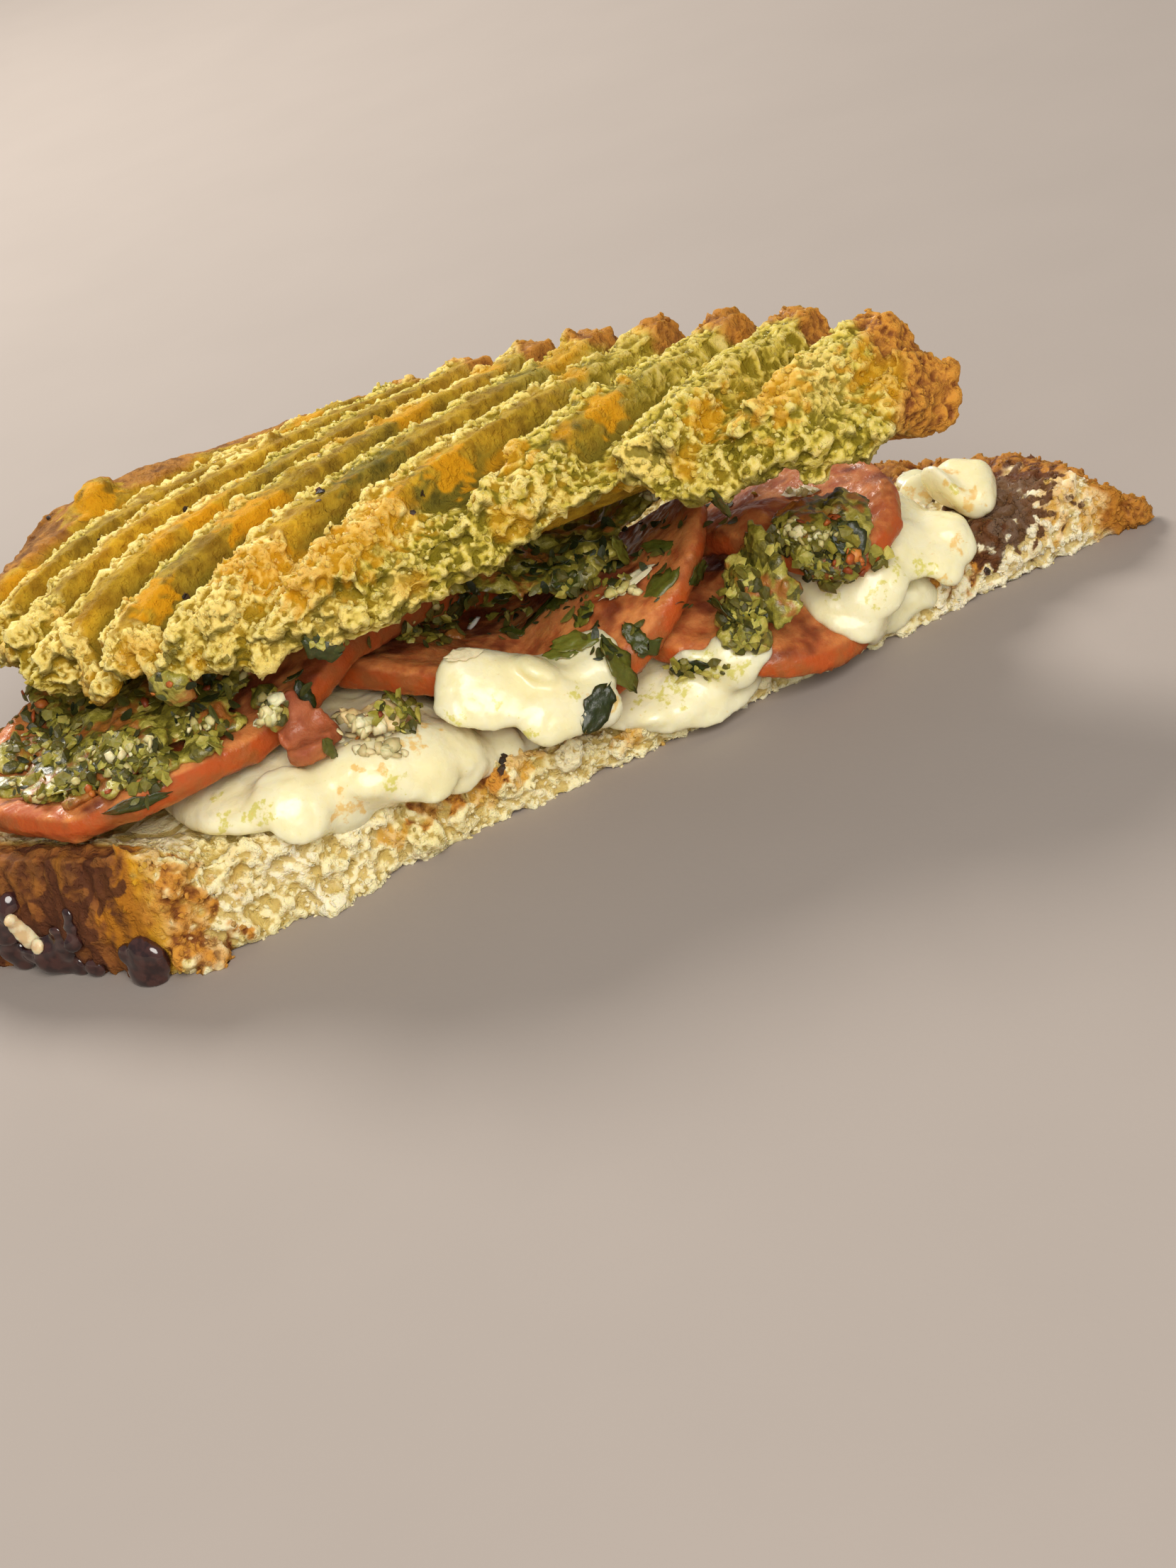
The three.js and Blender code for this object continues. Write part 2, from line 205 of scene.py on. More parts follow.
def smooth(x):
    t = np.clip(x, 0, 1)
    return t * t * (3 - 2 * t)


def readPoints(mesh):
    co = np.empty(len(mesh.vertices) * 3, np.float32)
    mesh.vertices.foreach_get("co", co)
    return co.reshape(-1, 3).astype(float)


def readNormals(mesh):
    no = np.empty(len(mesh.vertices) * 3, np.float32)
    mesh.vertices.foreach_get("normal", no)
    return no.reshape(-1, 3).astype(float)


def readSkin(mesh):                                        # its points and their normals
    return readPoints(mesh), readNormals(mesh)


def writePoints(mesh, co):
    mesh.vertices.foreach_set("co", co.astype(np.float32).ravel())
    mesh.update()


def swell(mesh, co, no, height):                           # moves every point out by its height in mm
    co += no * (height * mm)[:, None]
    writePoints(mesh, co)


def writeMask(mesh, name, values):
    layer = mesh.attributes.get(name) or mesh.attributes.new(name, "FLOAT", "POINT")
    layer.data.foreach_set("value", np.broadcast_to(values, len(mesh.vertices)).astype(np.float32))


def grain(co, size, seed=0, octaves=1):                    # -1..1, size in millimetres
    shift = Vector((seed * 17.3, seed * 5.9, seed * 11.1))
    scaled = co / (size * mm)
    if octaves == 1:
        return np.array([noise.noise(Vector(p) + shift) for p in scaled])
    return np.array([noise.fractal(Vector(p) + shift, 0.9, 2.1, octaves) for p in scaled])


def walls(co, size, seed=0):                               # sharp crests round rounded pits
    return (0.22 - np.abs(grain(co, size, seed, 2))) * 2.2


def lumps(co, size, seed=0):                               # distance to the nearest of scattered seeds
    shift = Vector((seed * 3.7, seed * 9.1, seed * 5.3))
    return np.array([noise.voronoi(Vector(p) + shift)[0][0] for p in co / (size * mm)])


def hollows(mesh, co, no):                                 # mm that a point lies below its neighbours
    ends = np.empty(len(mesh.edges) * 2, np.int32)
    mesh.edges.foreach_get("vertices", ends)
    one, two = ends[0::2], ends[1::2]
    count = np.maximum(np.bincount(ends, minlength=len(co)), 1)
    near = co.copy()
    for _ in range(3):
        sums = [np.bincount(one, near[two, k], len(co)) + np.bincount(two, near[one, k], len(co))
                for k in range(3)]
        near = np.stack([total / count for total in sums], axis=1)
    return ((near - co) * no).sum(axis=1) / mm


def pixelsOf(co):                                          # where points show in the photograph's frame
    right, up, back = (np.array(axis) for axis in cameraAxes())
    away = co - np.array(view["spot"])
    depth = -(away @ back)
    x = view["pixels"][0] / 2 + view["focal"] * (away @ right) / depth
    y = view["pixels"][1] / 2 - view["focal"] * (away @ up) / depth
    return x, y, depth


def spotOn(co, px, py):                                    # the point of this mesh that shows there
    x, y, depth = pixelsOf(co)
    off = np.hypot(x - px, y - py)
    close = np.flatnonzero(off < max(7, off.min() * 1.5))
    return co[close[depth[close].argmin()]]


def patches(co, places):                                   # soft patches round (px, py, radius in mm)
    value = np.zeros(len(co))
    x, y, z = co.T * 1000
    wobble = 0.4 * np.sin(1.9 * x + 2 * np.sin(1.3 * y + z))
    wobble += 0.4 * np.sin(2.3 * y + 1.7 * z + 2 * np.sin(1.5 * x))
    for px, py, radius in places:
        off = np.linalg.norm(co - spotOn(co, px, py), axis=1) / mm + radius * 0.7 * wobble
        value = np.maximum(value, smooth((radius * 1.4 - off) / (radius * 0.8)))
    return value


def cutPlace(co):                                          # along the cut, back from it, height: in mm
    return (co[:, 0] - cutStart.x) / mm, (co[:, 1] - cutStart.y) / mm, co[:, 2] / mm


def loafPlace(co, loaf):                                   # along and across the loaf, in mm
    u, v, _ = cutPlace(co)
    u, v = u - loaf["shift"][0], v - loaf["shift"][1]
    angle = math.radians(loaf["slant"] - loaf["turn"])
    return u * math.cos(angle) - v * math.sin(angle), u * math.sin(angle) + v * math.cos(angle)


def fromRidge(a, phase):                                   # from a ridge's middle, + towards the cut
    return ((a - phase) % ridgePitch + 1.5 * ridgePitch) % ridgePitch - ridgePitch / 2


def randomSpots(mesh, density, seed, chance):              # density per square mm
    mesh.calc_loop_triangles()
    count = len(mesh.loop_triangles)
    corners = np.empty(count * 3, np.int32)
    mesh.loop_triangles.foreach_get("vertices", corners)
    tri = readPoints(mesh)[corners.reshape(-1, 3)]
    one, two = tri[:, 1] - tri[:, 0], tri[:, 2] - tri[:, 0]
    cross = np.cross(one, two)
    area = np.linalg.norm(cross, axis=1) / 2
    rng = np.random.default_rng(seed)
    which = rng.choice(count, int(area.sum() * 1e6 * density), p=area / area.sum())
    s, t = rng.random(len(which)), rng.random(len(which))
    fold = s + t > 1
    s[fold], t[fold] = 1 - s[fold], 1 - t[fold]
    at = tri[which, 0] + s[:, None] * one[which] + t[:, None] * two[which]
    out = cross[which] / np.maximum(2 * area[which], 1e-12)[:, None]
    keep = rng.random(len(which)) < chance(at, out)
    return at[keep], out[keep], rng


def meshFrom(bm, name):
    mesh = bpy.data.meshes.new(name)
    bm.to_mesh(mesh)
    bm.free()
    return mesh


def copyOf(*nodes):
    bm = bmesh.new()
    for node in nodes:
        bm.from_mesh(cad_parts[node].data)
    bmesh.ops.remove_doubles(bm, verts=bm.verts, dist=1e-6)
    return meshFrom(bm, nodes[0])


def shapeMesh(build):                                      # a small mesh made by bmesh operators
    bm = bmesh.new()
    build(bm)
    return meshFrom(bm, "shape")


def strew(bm, shapes, places):                             # places: (shape number, matrix)
    sizes = []
    for number, matrix in places:
        one = shapes[number].copy()
        one.transform(matrix)
        bm.from_mesh(one)
        sizes.append(len(one.vertices))
        bpy.data.meshes.remove(one)
    return sizes


def addPiece(name, mesh, material, slot, *nodes):
    mesh.name = name
    obj = bpy.data.objects.new(name, mesh)
    bpy.context.scene.collection.objects.link(obj)
    mesh.materials.clear()
    mesh.materials.append(material)
    mesh.shade_smooth()
    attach(obj, "root")
    if nodes:
        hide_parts(*nodes)
    print(name, len(mesh.polygons), "faces")
    return obj


def fused(mesh, voxel, relax=0):                           # one closed skin round everything in mesh
    obj = bpy.data.objects.new("fusing", mesh)
    bpy.context.scene.collection.objects.link(obj)
    skin = obj.modifiers.new("skin", "REMESH")
    skin.mode, skin.voxel_size, skin.adaptivity = "VOXEL", voxel * mm, 0
    if relax:
        soften = obj.modifiers.new("soften", "SMOOTH")
        soften.factor, soften.iterations = 0.5, relax
    bpy.context.view_layer.update()
    done = bpy.data.meshes.new_from_object(obj.evaluated_get(bpy.context.evaluated_depsgraph_get()))
    bpy.data.objects.remove(obj)
    bpy.data.meshes.remove(mesh)
    return done


def pared(mesh, hidden, faces):                            # fewer faces where it doesn't show
    total = sum(len(p.vertices) - 2 for p in mesh.polygons)
    if total <= faces:
        return mesh
    obj = bpy.data.objects.new("paring", mesh)
    bpy.context.scene.collection.objects.link(obj)
    group = obj.vertex_groups.new(name="hidden")
    for step in range(11):
        chosen = np.flatnonzero(np.round(hidden * 10) == step).tolist()
        group.add(chosen, step / 10, "REPLACE")
    less = obj.modifiers.new("less", "DECIMATE")
    less.ratio, less.vertex_group, less.vertex_group_factor = faces / total, "hidden", 4.0
    bpy.context.view_layer.update()
    done = bpy.data.meshes.new_from_object(obj.evaluated_get(bpy.context.evaluated_depsgraph_get()))
    bpy.data.objects.remove(obj)
    bpy.data.meshes.remove(mesh)
    return done


def alignTo(normal, spin):
    return Vector(normal).to_track_quat("Z", "Y").to_matrix().to_4x4() @ Matrix.Rotation(spin, 4, "Z")


def aim(px, py):                                           # what shows at a pixel of the photograph
    bpy.context.view_layer.update()
    graph = bpy.context.evaluated_depsgraph_get()
    hit, at, out, _, obj, _ = bpy.context.scene.ray_cast(graph, *sightLine(px, py))
    return (at, out, obj) if hit else (None, None, None)


def seenTurn(out, degrees):                                # lies on the surface, turned as seen
    right, up, _ = cameraAxes()
    along = right * math.cos(math.radians(degrees)) + up * math.sin(math.radians(degrees))
    along = (along - out * along.dot(out)).normalized()
    return Matrix((along, out.cross(along), out)).transposed().to_4x4()


def blobs(bm, drops, sink=0.3, on=None):                   # drops: (px, py, radius in mm, flatness)
    for px, py, radius, flat in drops:
        at, out, obj = aim(px, py)
        if at is None or obj.name == "floor" or (on and obj.name != on):
            continue
        r = radius * mm
        spot = Matrix.Translation(at + out * r * flat * (1 - 2 * sink)) @ seenTurn(out, 0)
        spot = spot @ Matrix.Diagonal((r, r, r * flat, 1))
        bmesh.ops.create_icosphere(bm, subdivisions=2, radius=1, matrix=spot)


def resized(drops, wider, flatter):
    return [(px, py, radius * wider, flat * flatter) for px, py, radius, flat in drops]


def heap(mesh, places=(), drops=(), sink=0.3, on=None):    # adds crumbs and drops to a mesh
    bm = bmesh.new()
    bm.from_mesh(mesh)
    strew(bm, crumbShapes, places)
    blobs(bm, drops, sink, on)
    bm.to_mesh(mesh)
    bm.free()
    return mesh


# the two slices of bread

lowerLoaf = {
    "shift": (0, 0), "slant": 50, "turn": 0,               # mm and degrees
    "voxel": 0.48, "faces": 192000,
    "relief": ((0.50, 4.6), (0.52, 3.6), (0.40, 1.6), (0.12, 0.8)),   # height and size in mm
    "grains": 1800,
    "amber": [
        (180, 1265, 4), (170, 1310, 3), (205, 1230, 4), (215, 1280, 4), (190, 1320, 4), (240, 1250, 3),
        (255, 1290, 4), (225, 1340, 4), (262, 1235, 2), (1345, 745, 5), (1500, 685, 6), (1570, 715, 6),
        (620, 1130, 3), (680, 1102, 3), (740, 1075, 2.5), (560, 1185, 2), (880, 1030, 2),
    ],
    "dark": [
        (1405, 690, 6.5), (1385, 735, 5), (1440, 675, 4), (1420, 720, 4), (90, 1310, 4), (30, 1320, 4),
        (130, 1250, 3),
    ],
    # the last three toast patches, below the front cheese, are toasted brown and painted shade under the
    # cheese
    "toast": [
        (250, 1320, 6), (215, 1290, 5), (300, 1345, 4), (1345, 760, 6), (262, 1250, 4), (270, 1290, 4),
        (330, 1340, 3), (600, 1142, 2.2), (640, 1120, 2.6), (690, 1096, 2.4),
    ],
    "pale": [(420, 1215, 2.4), (395, 1235, 2), (460, 1262, 2.5)],
}
tornLumps = {
    "top": [
        (70, 925, 2.6, 0.8), (95, 950, 2.8, 0.8), (150, 965, 2.6, 0.8), (165, 930, 2.2, 0.8),
        (30, 900, 2.4, 0.8), (215, 905, 2.4, 0.8), (262, 915, 2.2, 0.8), (310, 925, 2.6, 0.8),
        (370, 930, 2.6, 0.8), (400, 945, 2.0, 0.8), (430, 885, 2.4, 0.8), (470, 890, 2.4, 0.8),
        (500, 870, 2.2, 0.8), (540, 860, 2.4, 0.8), (580, 845, 2.0, 0.8), (620, 825, 2.2, 0.8),
        (655, 805, 2.0, 0.8), (690, 790, 2.4, 0.8), (740, 770, 2.0, 0.8), (775, 765, 2.2, 0.8),
        (820, 745, 2.0, 0.8), (860, 725, 2.4, 0.8), (905, 705, 2.2, 0.8), (945, 690, 2.0, 0.8),
        (980, 690, 2.6, 0.8), (1020, 685, 2.6, 0.8), (1060, 660, 2.6, 0.8), (1110, 640, 2.2, 0.8),
        (1150, 620, 2.4, 0.8), (1190, 610, 2.2, 0.8), (1240, 605, 2.4, 0.6), (1290, 600, 2.2, 0.6),
        (1330, 585, 2.4, 0.6), (1345, 560, 2.0, 0.6), (1338, 520, 2.2, 0.6), (1325, 490, 2.0, 0.6),
        (1290, 470, 2.2, 0.6), (1255, 455, 2.0, 0.6), (126, 706, 2.6, 0.7), (136, 697, 2.6, 0.9),
        (146, 689, 2.2, 0.8),
    ],
    "bottom": [
        (262, 1350, 2.0, 0.7), (300, 1352, 2.4, 0.7), (345, 1338, 2.2, 0.7), (385, 1325, 2.4, 0.7),
        (430, 1300, 2.2, 0.7), (470, 1278, 2.6, 0.7), (520, 1245, 2.2, 0.7), (600, 1180, 2.4, 0.7),
        (650, 1150, 2.0, 0.7), (708, 1100, 2.4, 0.7), (800, 1062, 2.2, 0.7), (900, 1030, 2.4, 0.7),
        (1000, 1000, 2.2, 0.7), (1062, 975, 2.2, 0.7), (1150, 945, 2.4, 0.7), (1250, 910, 2.2, 0.7),
        (1349, 874, 2.0, 0.7), (1460, 825, 2.2, 0.7), (1540, 785, 2.0, 0.7),
    ],
}
upperLoaf = {
    "shift": (-23.3, 17.2), "slant": 50, "turn": -14, "phase": 6.5,
    "voxel": 0.47, "faces": 194000,
    "relief": ((0.45, 4.4), (0.48, 3.4), (0.38, 1.5), (0.12, 0.8)),
    "grains": 3600,
    "amber": [
        (475, 770, 4.5), (500, 755, 3), (290, 722, 3), (320, 790, 2.5), (720, 640, 2.5), (1080, 535, 5),
        (545, 720, 4), (360, 720, 4), (140, 700, 3.4), (640, 660, 3), (860, 575, 3), (420, 830, 3),
        (205, 840, 3), (385, 800, 4), (1250, 520, 5), (1000, 590, 3),
    ],
    "olive": [
        (650, 700, 6), (860, 630, 7), (930, 560, 6), (540, 660, 6), (760, 620, 5), (1080, 600, 6),
        (1180, 600, 6), (900, 520, 5), (700, 780, 6), (620, 790, 5),
    ],
    "flap": [(138, 698, 5)],
    "pale": [
        (190, 870, 4), (110, 900, 4), (300, 860, 3.5), (60, 850, 3), (905, 640, 3), (470, 890, 3),
        (1070, 560, 3), (1150, 520, 5), (575, 830, 2.5), (400, 920, 2.5),
    ],
}
cutLength = 142                       # mm
cutTilt = math.radians(50)
loafDepth = cutLength * math.sin(cutTilt)
grainSize = (0.16, 0.55)              # mm


def crumbShape(seed):
    def build(bm):
        bmesh.ops.create_icosphere(bm, subdivisions=1, radius=1)
        for v in bm.verts:
            v.co *= 1 + 0.55 * noise.noise(v.co * 1.3 + Vector((seed * 7.7, 0, 0)))
    return shapeMesh(build)


crumbShapes = [crumbShape(n) for n in range(5)]


def crumbPlaces(mesh, density, seed, size, chance, flat=(0.6, 1.0), sink=0.25):
    at, out, rng = randomSpots(mesh, density, seed, chance)
    places = []
    for p, n in zip(at, out):
        r = (size[0] + (size[1] - size[0]) * rng.random() ** 2.2) * mm
        scale = Matrix.Diagonal((r, r * rng.uniform(0.65, 1.1), r * rng.uniform(*flat), 1))
        shape = int(rng.integers(5))
        turn = alignTo(n, rng.uniform(0, 6.28))
        places.append((shape, Matrix.Translation(Vector(p) - Vector(n) * r * sink) @ turn @ scale))
    return places


def tornCrumb(co, relief):
    (swells, swellSize), (crests, crestSize), (pits, pitSize), (grit, gritSize) = relief
    return (swells * grain(co, swellSize, 2) + crests * walls(co, crestSize, 3)
            + pits * walls(co, pitSize, 1) + grit * grain(co, gritSize, 5))


def upperZones(co, no):
    a, b = loafPlace(co, upperLoaf)
    side = fromRidge(a, upperLoaf["phase"])
    wide = 0.4 + 1.2 * smooth((a - 30) / 40)
    ridge = smooth((wide + 1.8 * grain(co, 2.6, 5, 2) - side) / 0.9) * smooth((side + 4.2) / 1.0)
    straight = (b - a * math.tan(cutTilt)) * math.cos(cutTilt)
    fromCut = np.minimum(straight, b - 28 + 0.25 * a)
    band = 4.6 + 4.5 * grain(co, 7, 9) + 2.5 * smooth((14 - a) / 12) - 0.8 * smooth((a - 20) / 20)
    heel = smooth((-27 - a + 2 * grain(co, 5, 8)) / 4)
    return {"a": a, "b": b, "side": side, "fromCut": fromCut,
            "ridge": ridge * (1 - heel), "cutEdge": smooth((band - fromCut) / 1.6) * (1 - heel),
            "top": smooth((no[:, 2] - 0.05) / 0.3)}


def topSkin():                                             # the upper slice with its torn edge, fused
    def rough(p, n):
        zone = upperZones(p, n)
        share = np.maximum(zone["ridge"] * zone["top"], zone["cutEdge"])
        return np.clip(share * (0.25 + 0.75 * (n[:, 2] > -0.5)), 0, 1)

    def ragged(p, n):
        return smooth((2.6 - upperZones(p, n)["fromCut"]) / 1.5) * (n[:, 2] < 0.7)
    base = copyOf("top_slice")
    places = crumbPlaces(base, density=0.26, seed=11, size=(0.5, 1.7), chance=rough)
    places += crumbPlaces(base, density=0.20, seed=21, size=(0.8, 2.6), chance=ragged,
                          flat=(0.3, 0.6), sink=0.1)
    heap(base, places, resized(tornLumps["top"], 0.85, 1), 0.45, "top_slice")
    mesh = fused(base, upperLoaf["voxel"])
    co, no = readSkin(mesh)
    zone = upperZones(co, no)
    hidden = smooth((0.1 - no[:, 2]) / 0.3) * smooth((zone["fromCut"] - 9) / 4)
    plain = 1 - np.maximum(zone["ridge"], zone["cutEdge"])
    return pared(mesh, np.maximum(hidden, 0.3 * plain), upperLoaf["faces"])


def bakeTop():
    mesh = topSkin()
    co, no = readSkin(mesh)
    zone = upperZones(co, no)
    a, b, ridge, cutEdge, top = (zone[n] for n in ("a", "b", "ridge", "cutEdge", "top"))
    u = cutPlace(co)[0]
    heel = smooth((-25 - a + 2 * grain(co, 5, 8)) / 5)
    right = smooth((u - 66) / 24)
    crumb = np.maximum(np.maximum(ridge * top, cutEdge), 0.8 * right * top)
    # painted shade: the groove mask also darkens the grooves in colour through the shade mask, less towards
    # the right end
    groove = smooth((np.abs(zone["side"] + 0.4) - 2.6) / 2.2) * top * (1 - 0.8 * cutEdge)
    groove = groove * (1 - 0.7 * right) * (1 - heel)
    wavy = 0.26 * grain(co, 6, 13) + 0.22 * walls(co, 2.0, 14)
    swell(mesh, co, no, tornCrumb(co, upperLoaf["relief"]) * crumb + wavy * (1 - crumb) - 0.9 * groove)
    no = readNormals(mesh)
    far = smooth((b - loafDepth + 8 + 3 * grain(co, 4, 7)) / 6)
    tip = smooth((u - 99 + 6 * grain(co, 6, 9)) / 9)
    flap = patches(co, upperLoaf["flap"])
    greener = np.clip(0.30 + 0.5 * grain(co, 16, 31, 2) + 0.30 * smooth((u - 15) / 60), 0, 1)
    speckled = 0.7 * smooth((grain(co, 9, 41, 2) - 0.25) / 0.3)
    # painted shade: the down-facing underside of the torn cut edge is darkened as well
    under = cutEdge * smooth((0.30 - no[:, 2]) / 0.5) * np.clip(0.75 + grain(co, 5, 91), 0, 1)
    masks = {
        "crumb": crumb,
        "hollow": hollows(mesh, co, no),
        "toast": np.clip(np.maximum(np.maximum(far, heel), 0.9 * tip), 0, 1) * (1 - 0.9 * flap),
        "crust": np.clip(heel + 0.6 * far * (1 - tip), 0, 1) * (1 - flap),
        "oil": np.maximum(greener, patches(co, upperLoaf["olive"])),
        "amber": np.maximum(patches(co, upperLoaf["amber"]), speckled),
        "pale": patches(co, upperLoaf["pale"]) * crumb * 0.7,
        "dark": np.zeros(len(co)),
        "shade": np.maximum(groove * 0.95, under),
    }
    material = breadMaterial("toastedTop")
    for name, values in masks.items():
        writeMask(mesh, name, values)
    addPiece("top_bread", mesh, material, "upper_bread", "top_slice")
    chance = crumb * (no[:, 2] > -0.3) * (1 - 0.85 * masks["toast"])
    grains = grainMesh("top_crumbs", co, no, masks, chance, upperLoaf["grains"], 71)
    addPiece("top_crumbs", grains, material, "upper_bread")
    grains.shade_flat()


def grainMesh(name, co, no, masks, chance, count, seed):   # loose grains that take the bread's masks
    rng = np.random.default_rng(seed)
    chosen = rng.choice(len(co), count, p=chance / chance.sum())
    small, large = grainSize
    places = []
    for k in chosen:
        r = (small + (large - small) * rng.random() ** 2) * mm
        scale = Matrix.Diagonal((r, r * rng.uniform(0.5, 1), r * rng.uniform(0.4, 0.9), 1))
        turn = alignTo(no[k] + rng.normal(0, 0.5, 3), rng.uniform(0, 6.28))
        spot = Matrix.Translation(Vector(co[k] + no[k] * r * 0.1))
        places.append((int(rng.integers(5)), spot @ turn @ scale))
    bm = bmesh.new()
    sizes = strew(bm, crumbShapes, places)
    mesh = meshFrom(bm, name)
    for mask, values in masks.items():
        # grains mostly get a hollow below zero, so most carry the painted tip highlight
        values = rng.uniform(-0.25, 0.05, len(co)) if mask == "hollow" else values
        writeMask(mesh, mask, np.repeat(values[chosen], sizes))
    return mesh


def lowerZones(co, no):
    a, b = loafPlace(co, lowerLoaf)
    u = cutPlace(co)[0]
    fromCut = (b - np.maximum(a, 0) * math.tan(cutTilt)) * math.cos(cutTilt)
    face = smooth((0.25 - no[:, 1]) / 0.5) * smooth((5 - fromCut) / 2)
    return {"a": a, "b": b, "u": u, "fromCut": fromCut,
            "face": face * smooth((u + 1 + 1.5 * grain(co, 5, 2)) / 3),
            "crust": smooth((1.5 - a) / 3) * smooth((7 - b) / 4),
            "top": smooth((no[:, 2] - 0.1) / 0.4)}


def splinterPlaces(base):                                  # upright fibres of the torn crust
    def torn(p, n):
        return lowerZones(p, n)["crust"] * (n[:, 2] < 0.6)
    at, out, rng = randomSpots(base, 0.22, 14, torn)
    places = []
    for p, n in zip(at, out):
        r = rng.uniform(0.4, 0.9) * mm
        lean = Matrix.Rotation(rng.uniform(-0.2, 0.45), 4, Vector(n))
        scale = Matrix.Diagonal((r, r, r * rng.uniform(2.5, 5), 1))
        spot = Matrix.Translation(Vector(p) - Vector(n) * r * 0.3)
        places.append((int(rng.integers(5)), spot @ lean @ scale))
    return places


def bottomSkin():                                          # the lower slice with its torn cut, fused
    def rough(p, n):
        zone = lowerZones(p, n)
        return np.clip(np.maximum(zone["face"], zone["top"] * (zone["b"] > 60) * 0.8), 0, 1)
    base = copyOf("bottom_slice")
    places = crumbPlaces(base, density=0.35, seed=12, size=(0.5, 1.6), chance=rough)
    heap(base, places + splinterPlaces(base), tornLumps["bottom"], 0.4, "bottom_slice")
    mesh = fused(base, lowerLoaf["voxel"])
    co, no = readSkin(mesh)
    zone = lowerZones(co, no)
    covered = zone["top"] * (zone["fromCut"] > 6) * (zone["b"] < 84) * (zone["a"] > -30)
    return pared(mesh, np.maximum(smooth((-0.5 - no[:, 2]) / 0.3), covered), lowerLoaf["faces"])


def bakeBottom():
    mesh = bottomSkin()
    co, no = readSkin(mesh)
    zone = lowerZones(co, no)
    a, b, u, face, crust = (zone[n] for n in ("a", "b", "u", "face", "crust"))
    crumb = np.maximum(face, zone["top"] * (1 - crust))
    pits = smooth((0.34 - lumps(co, 3.2, 3)) / 0.2)
    pits = np.maximum(pits, 0.7 * smooth((0.30 - lumps(co, 1.9, 5)) / 0.2))
    knobs = tornCrumb(co, lowerLoaf["relief"]) - 0.6 * pits * face
    tall = co * np.array((1, 1, 0.16))
    strands = 0.75 * grain(tall, 2.6, 8, 2) + 0.25 * grain(tall, 0.9, 18)
    swell(mesh, co, no, knobs * np.maximum(crumb, 0.3) + strands * crust)
    co[:, 2] = np.maximum(co[:, 2], 0)
    writePoints(mesh, co)
    no = readNormals(mesh)
    ends = smooth((b - loafDepth + 9 + 4 * grain(co, 4, 7)) / 6)
    ends = np.maximum(ends, smooth((-34 - a) / 6))
    under = smooth((-0.4 - no[:, 2]) / 0.3) * (1 - face)
    scorch = np.clip(patches(co, lowerLoaf["toast"]) + 0.5 * grain(co, 3, 61, 2) - 0.2, 0, 1)
    amber = patches(co, lowerLoaf["amber"]) * 1.4 + 0.8 * grain(tall, 3, 62, 2) - 0.3
    whiter = (0.40 + 0.6 * smooth((u - 98) / 10) + 0.5 * grain(co, 6, 64, 2)) * crumb
    dark = np.clip(patches(co, lowerLoaf["dark"]) * 1.5 + 0.7 * grain(co, 3, 63, 2) - 0.15, 0, 1)
    streaks = crust * smooth(grain(tall, 4, 28, 2) * 1.6)
    masks = {
        "crumb": crumb,
        "hollow": hollows(mesh, co, no),
        "toast": np.clip(np.maximum.reduce([crust, ends, scorch, 0.6 * under]), 0, 1),
        "crust": np.clip(crust + 0.5 * ends, 0, 1),
        "oil": np.clip(-0.1 + 0.6 * grain(co, 12, 31, 2), 0, 1) * (u < 120),
        "amber": np.clip(amber, 0, 1),
        "pale": np.maximum(patches(co, lowerLoaf["pale"]), whiter),
        "dark": np.maximum(dark, streaks),
        "shade": np.zeros(len(co)),
    }
    material = breadMaterial("toastedBottom")
    for name, values in masks.items():
        writeMask(mesh, name, values)
    addPiece("bottom_bread", mesh, material, "lower_bread", "bottom_slice")
    chance = face + 0.6 * crumb * (u > 100)
    grains = grainMesh("bottom_crumbs", co, no, masks, chance, lowerLoaf["grains"], 72)
    addPiece("bottom_crumbs", grains, material, "lower_bread")
    grains.shade_flat()


# the second crumb and green tones are painted shade for the pits of the crumb, the tip tone is a painted
# highlight on its tips, and the shade tone is painted shade for grooves and undersides
breadTones = {
    "both": {
        "golden": ((0.40, 0.20, 0.006), (0.64, 0.37, 0.018)),
        "olive": ((0.085, 0.068, 0.008), (0.26, 0.19, 0.018)),
        "green": ((0.60, 0.46, 0.060), (0.20, 0.15, 0.006)),
        "toast": ((0.62, 0.27, 0.038), (0.22, 0.068, 0.014)),
        "shade": (0.12, 0.092, 0.006), "char": (0.095, 0.030, 0.012),
        "amber": (0.66, 0.30, 0.004), "amberCrust": (0.50, 0.19, 0.010),
    },
    "toastedTop": {
        "crumb": ((0.86, 0.65, 0.18), (0.42, 0.24, 0.010)), "tipHighlight": (0.94, 0.78, 0.34),
        "cream": (0.86, 0.64, 0.18), "crust": ((0.12, 0.044, 0.008), (0.36, 0.155, 0.024)),
    },
    "toastedBottom": {
        "crumb": ((0.90, 0.75, 0.33), (0.58, 0.41, 0.10)), "tipHighlight": (0.95, 0.84, 0.46),
        "cream": (0.93, 0.83, 0.57), "crust": ((0.085, 0.026, 0.012), (0.24, 0.080, 0.020)),
    },
}


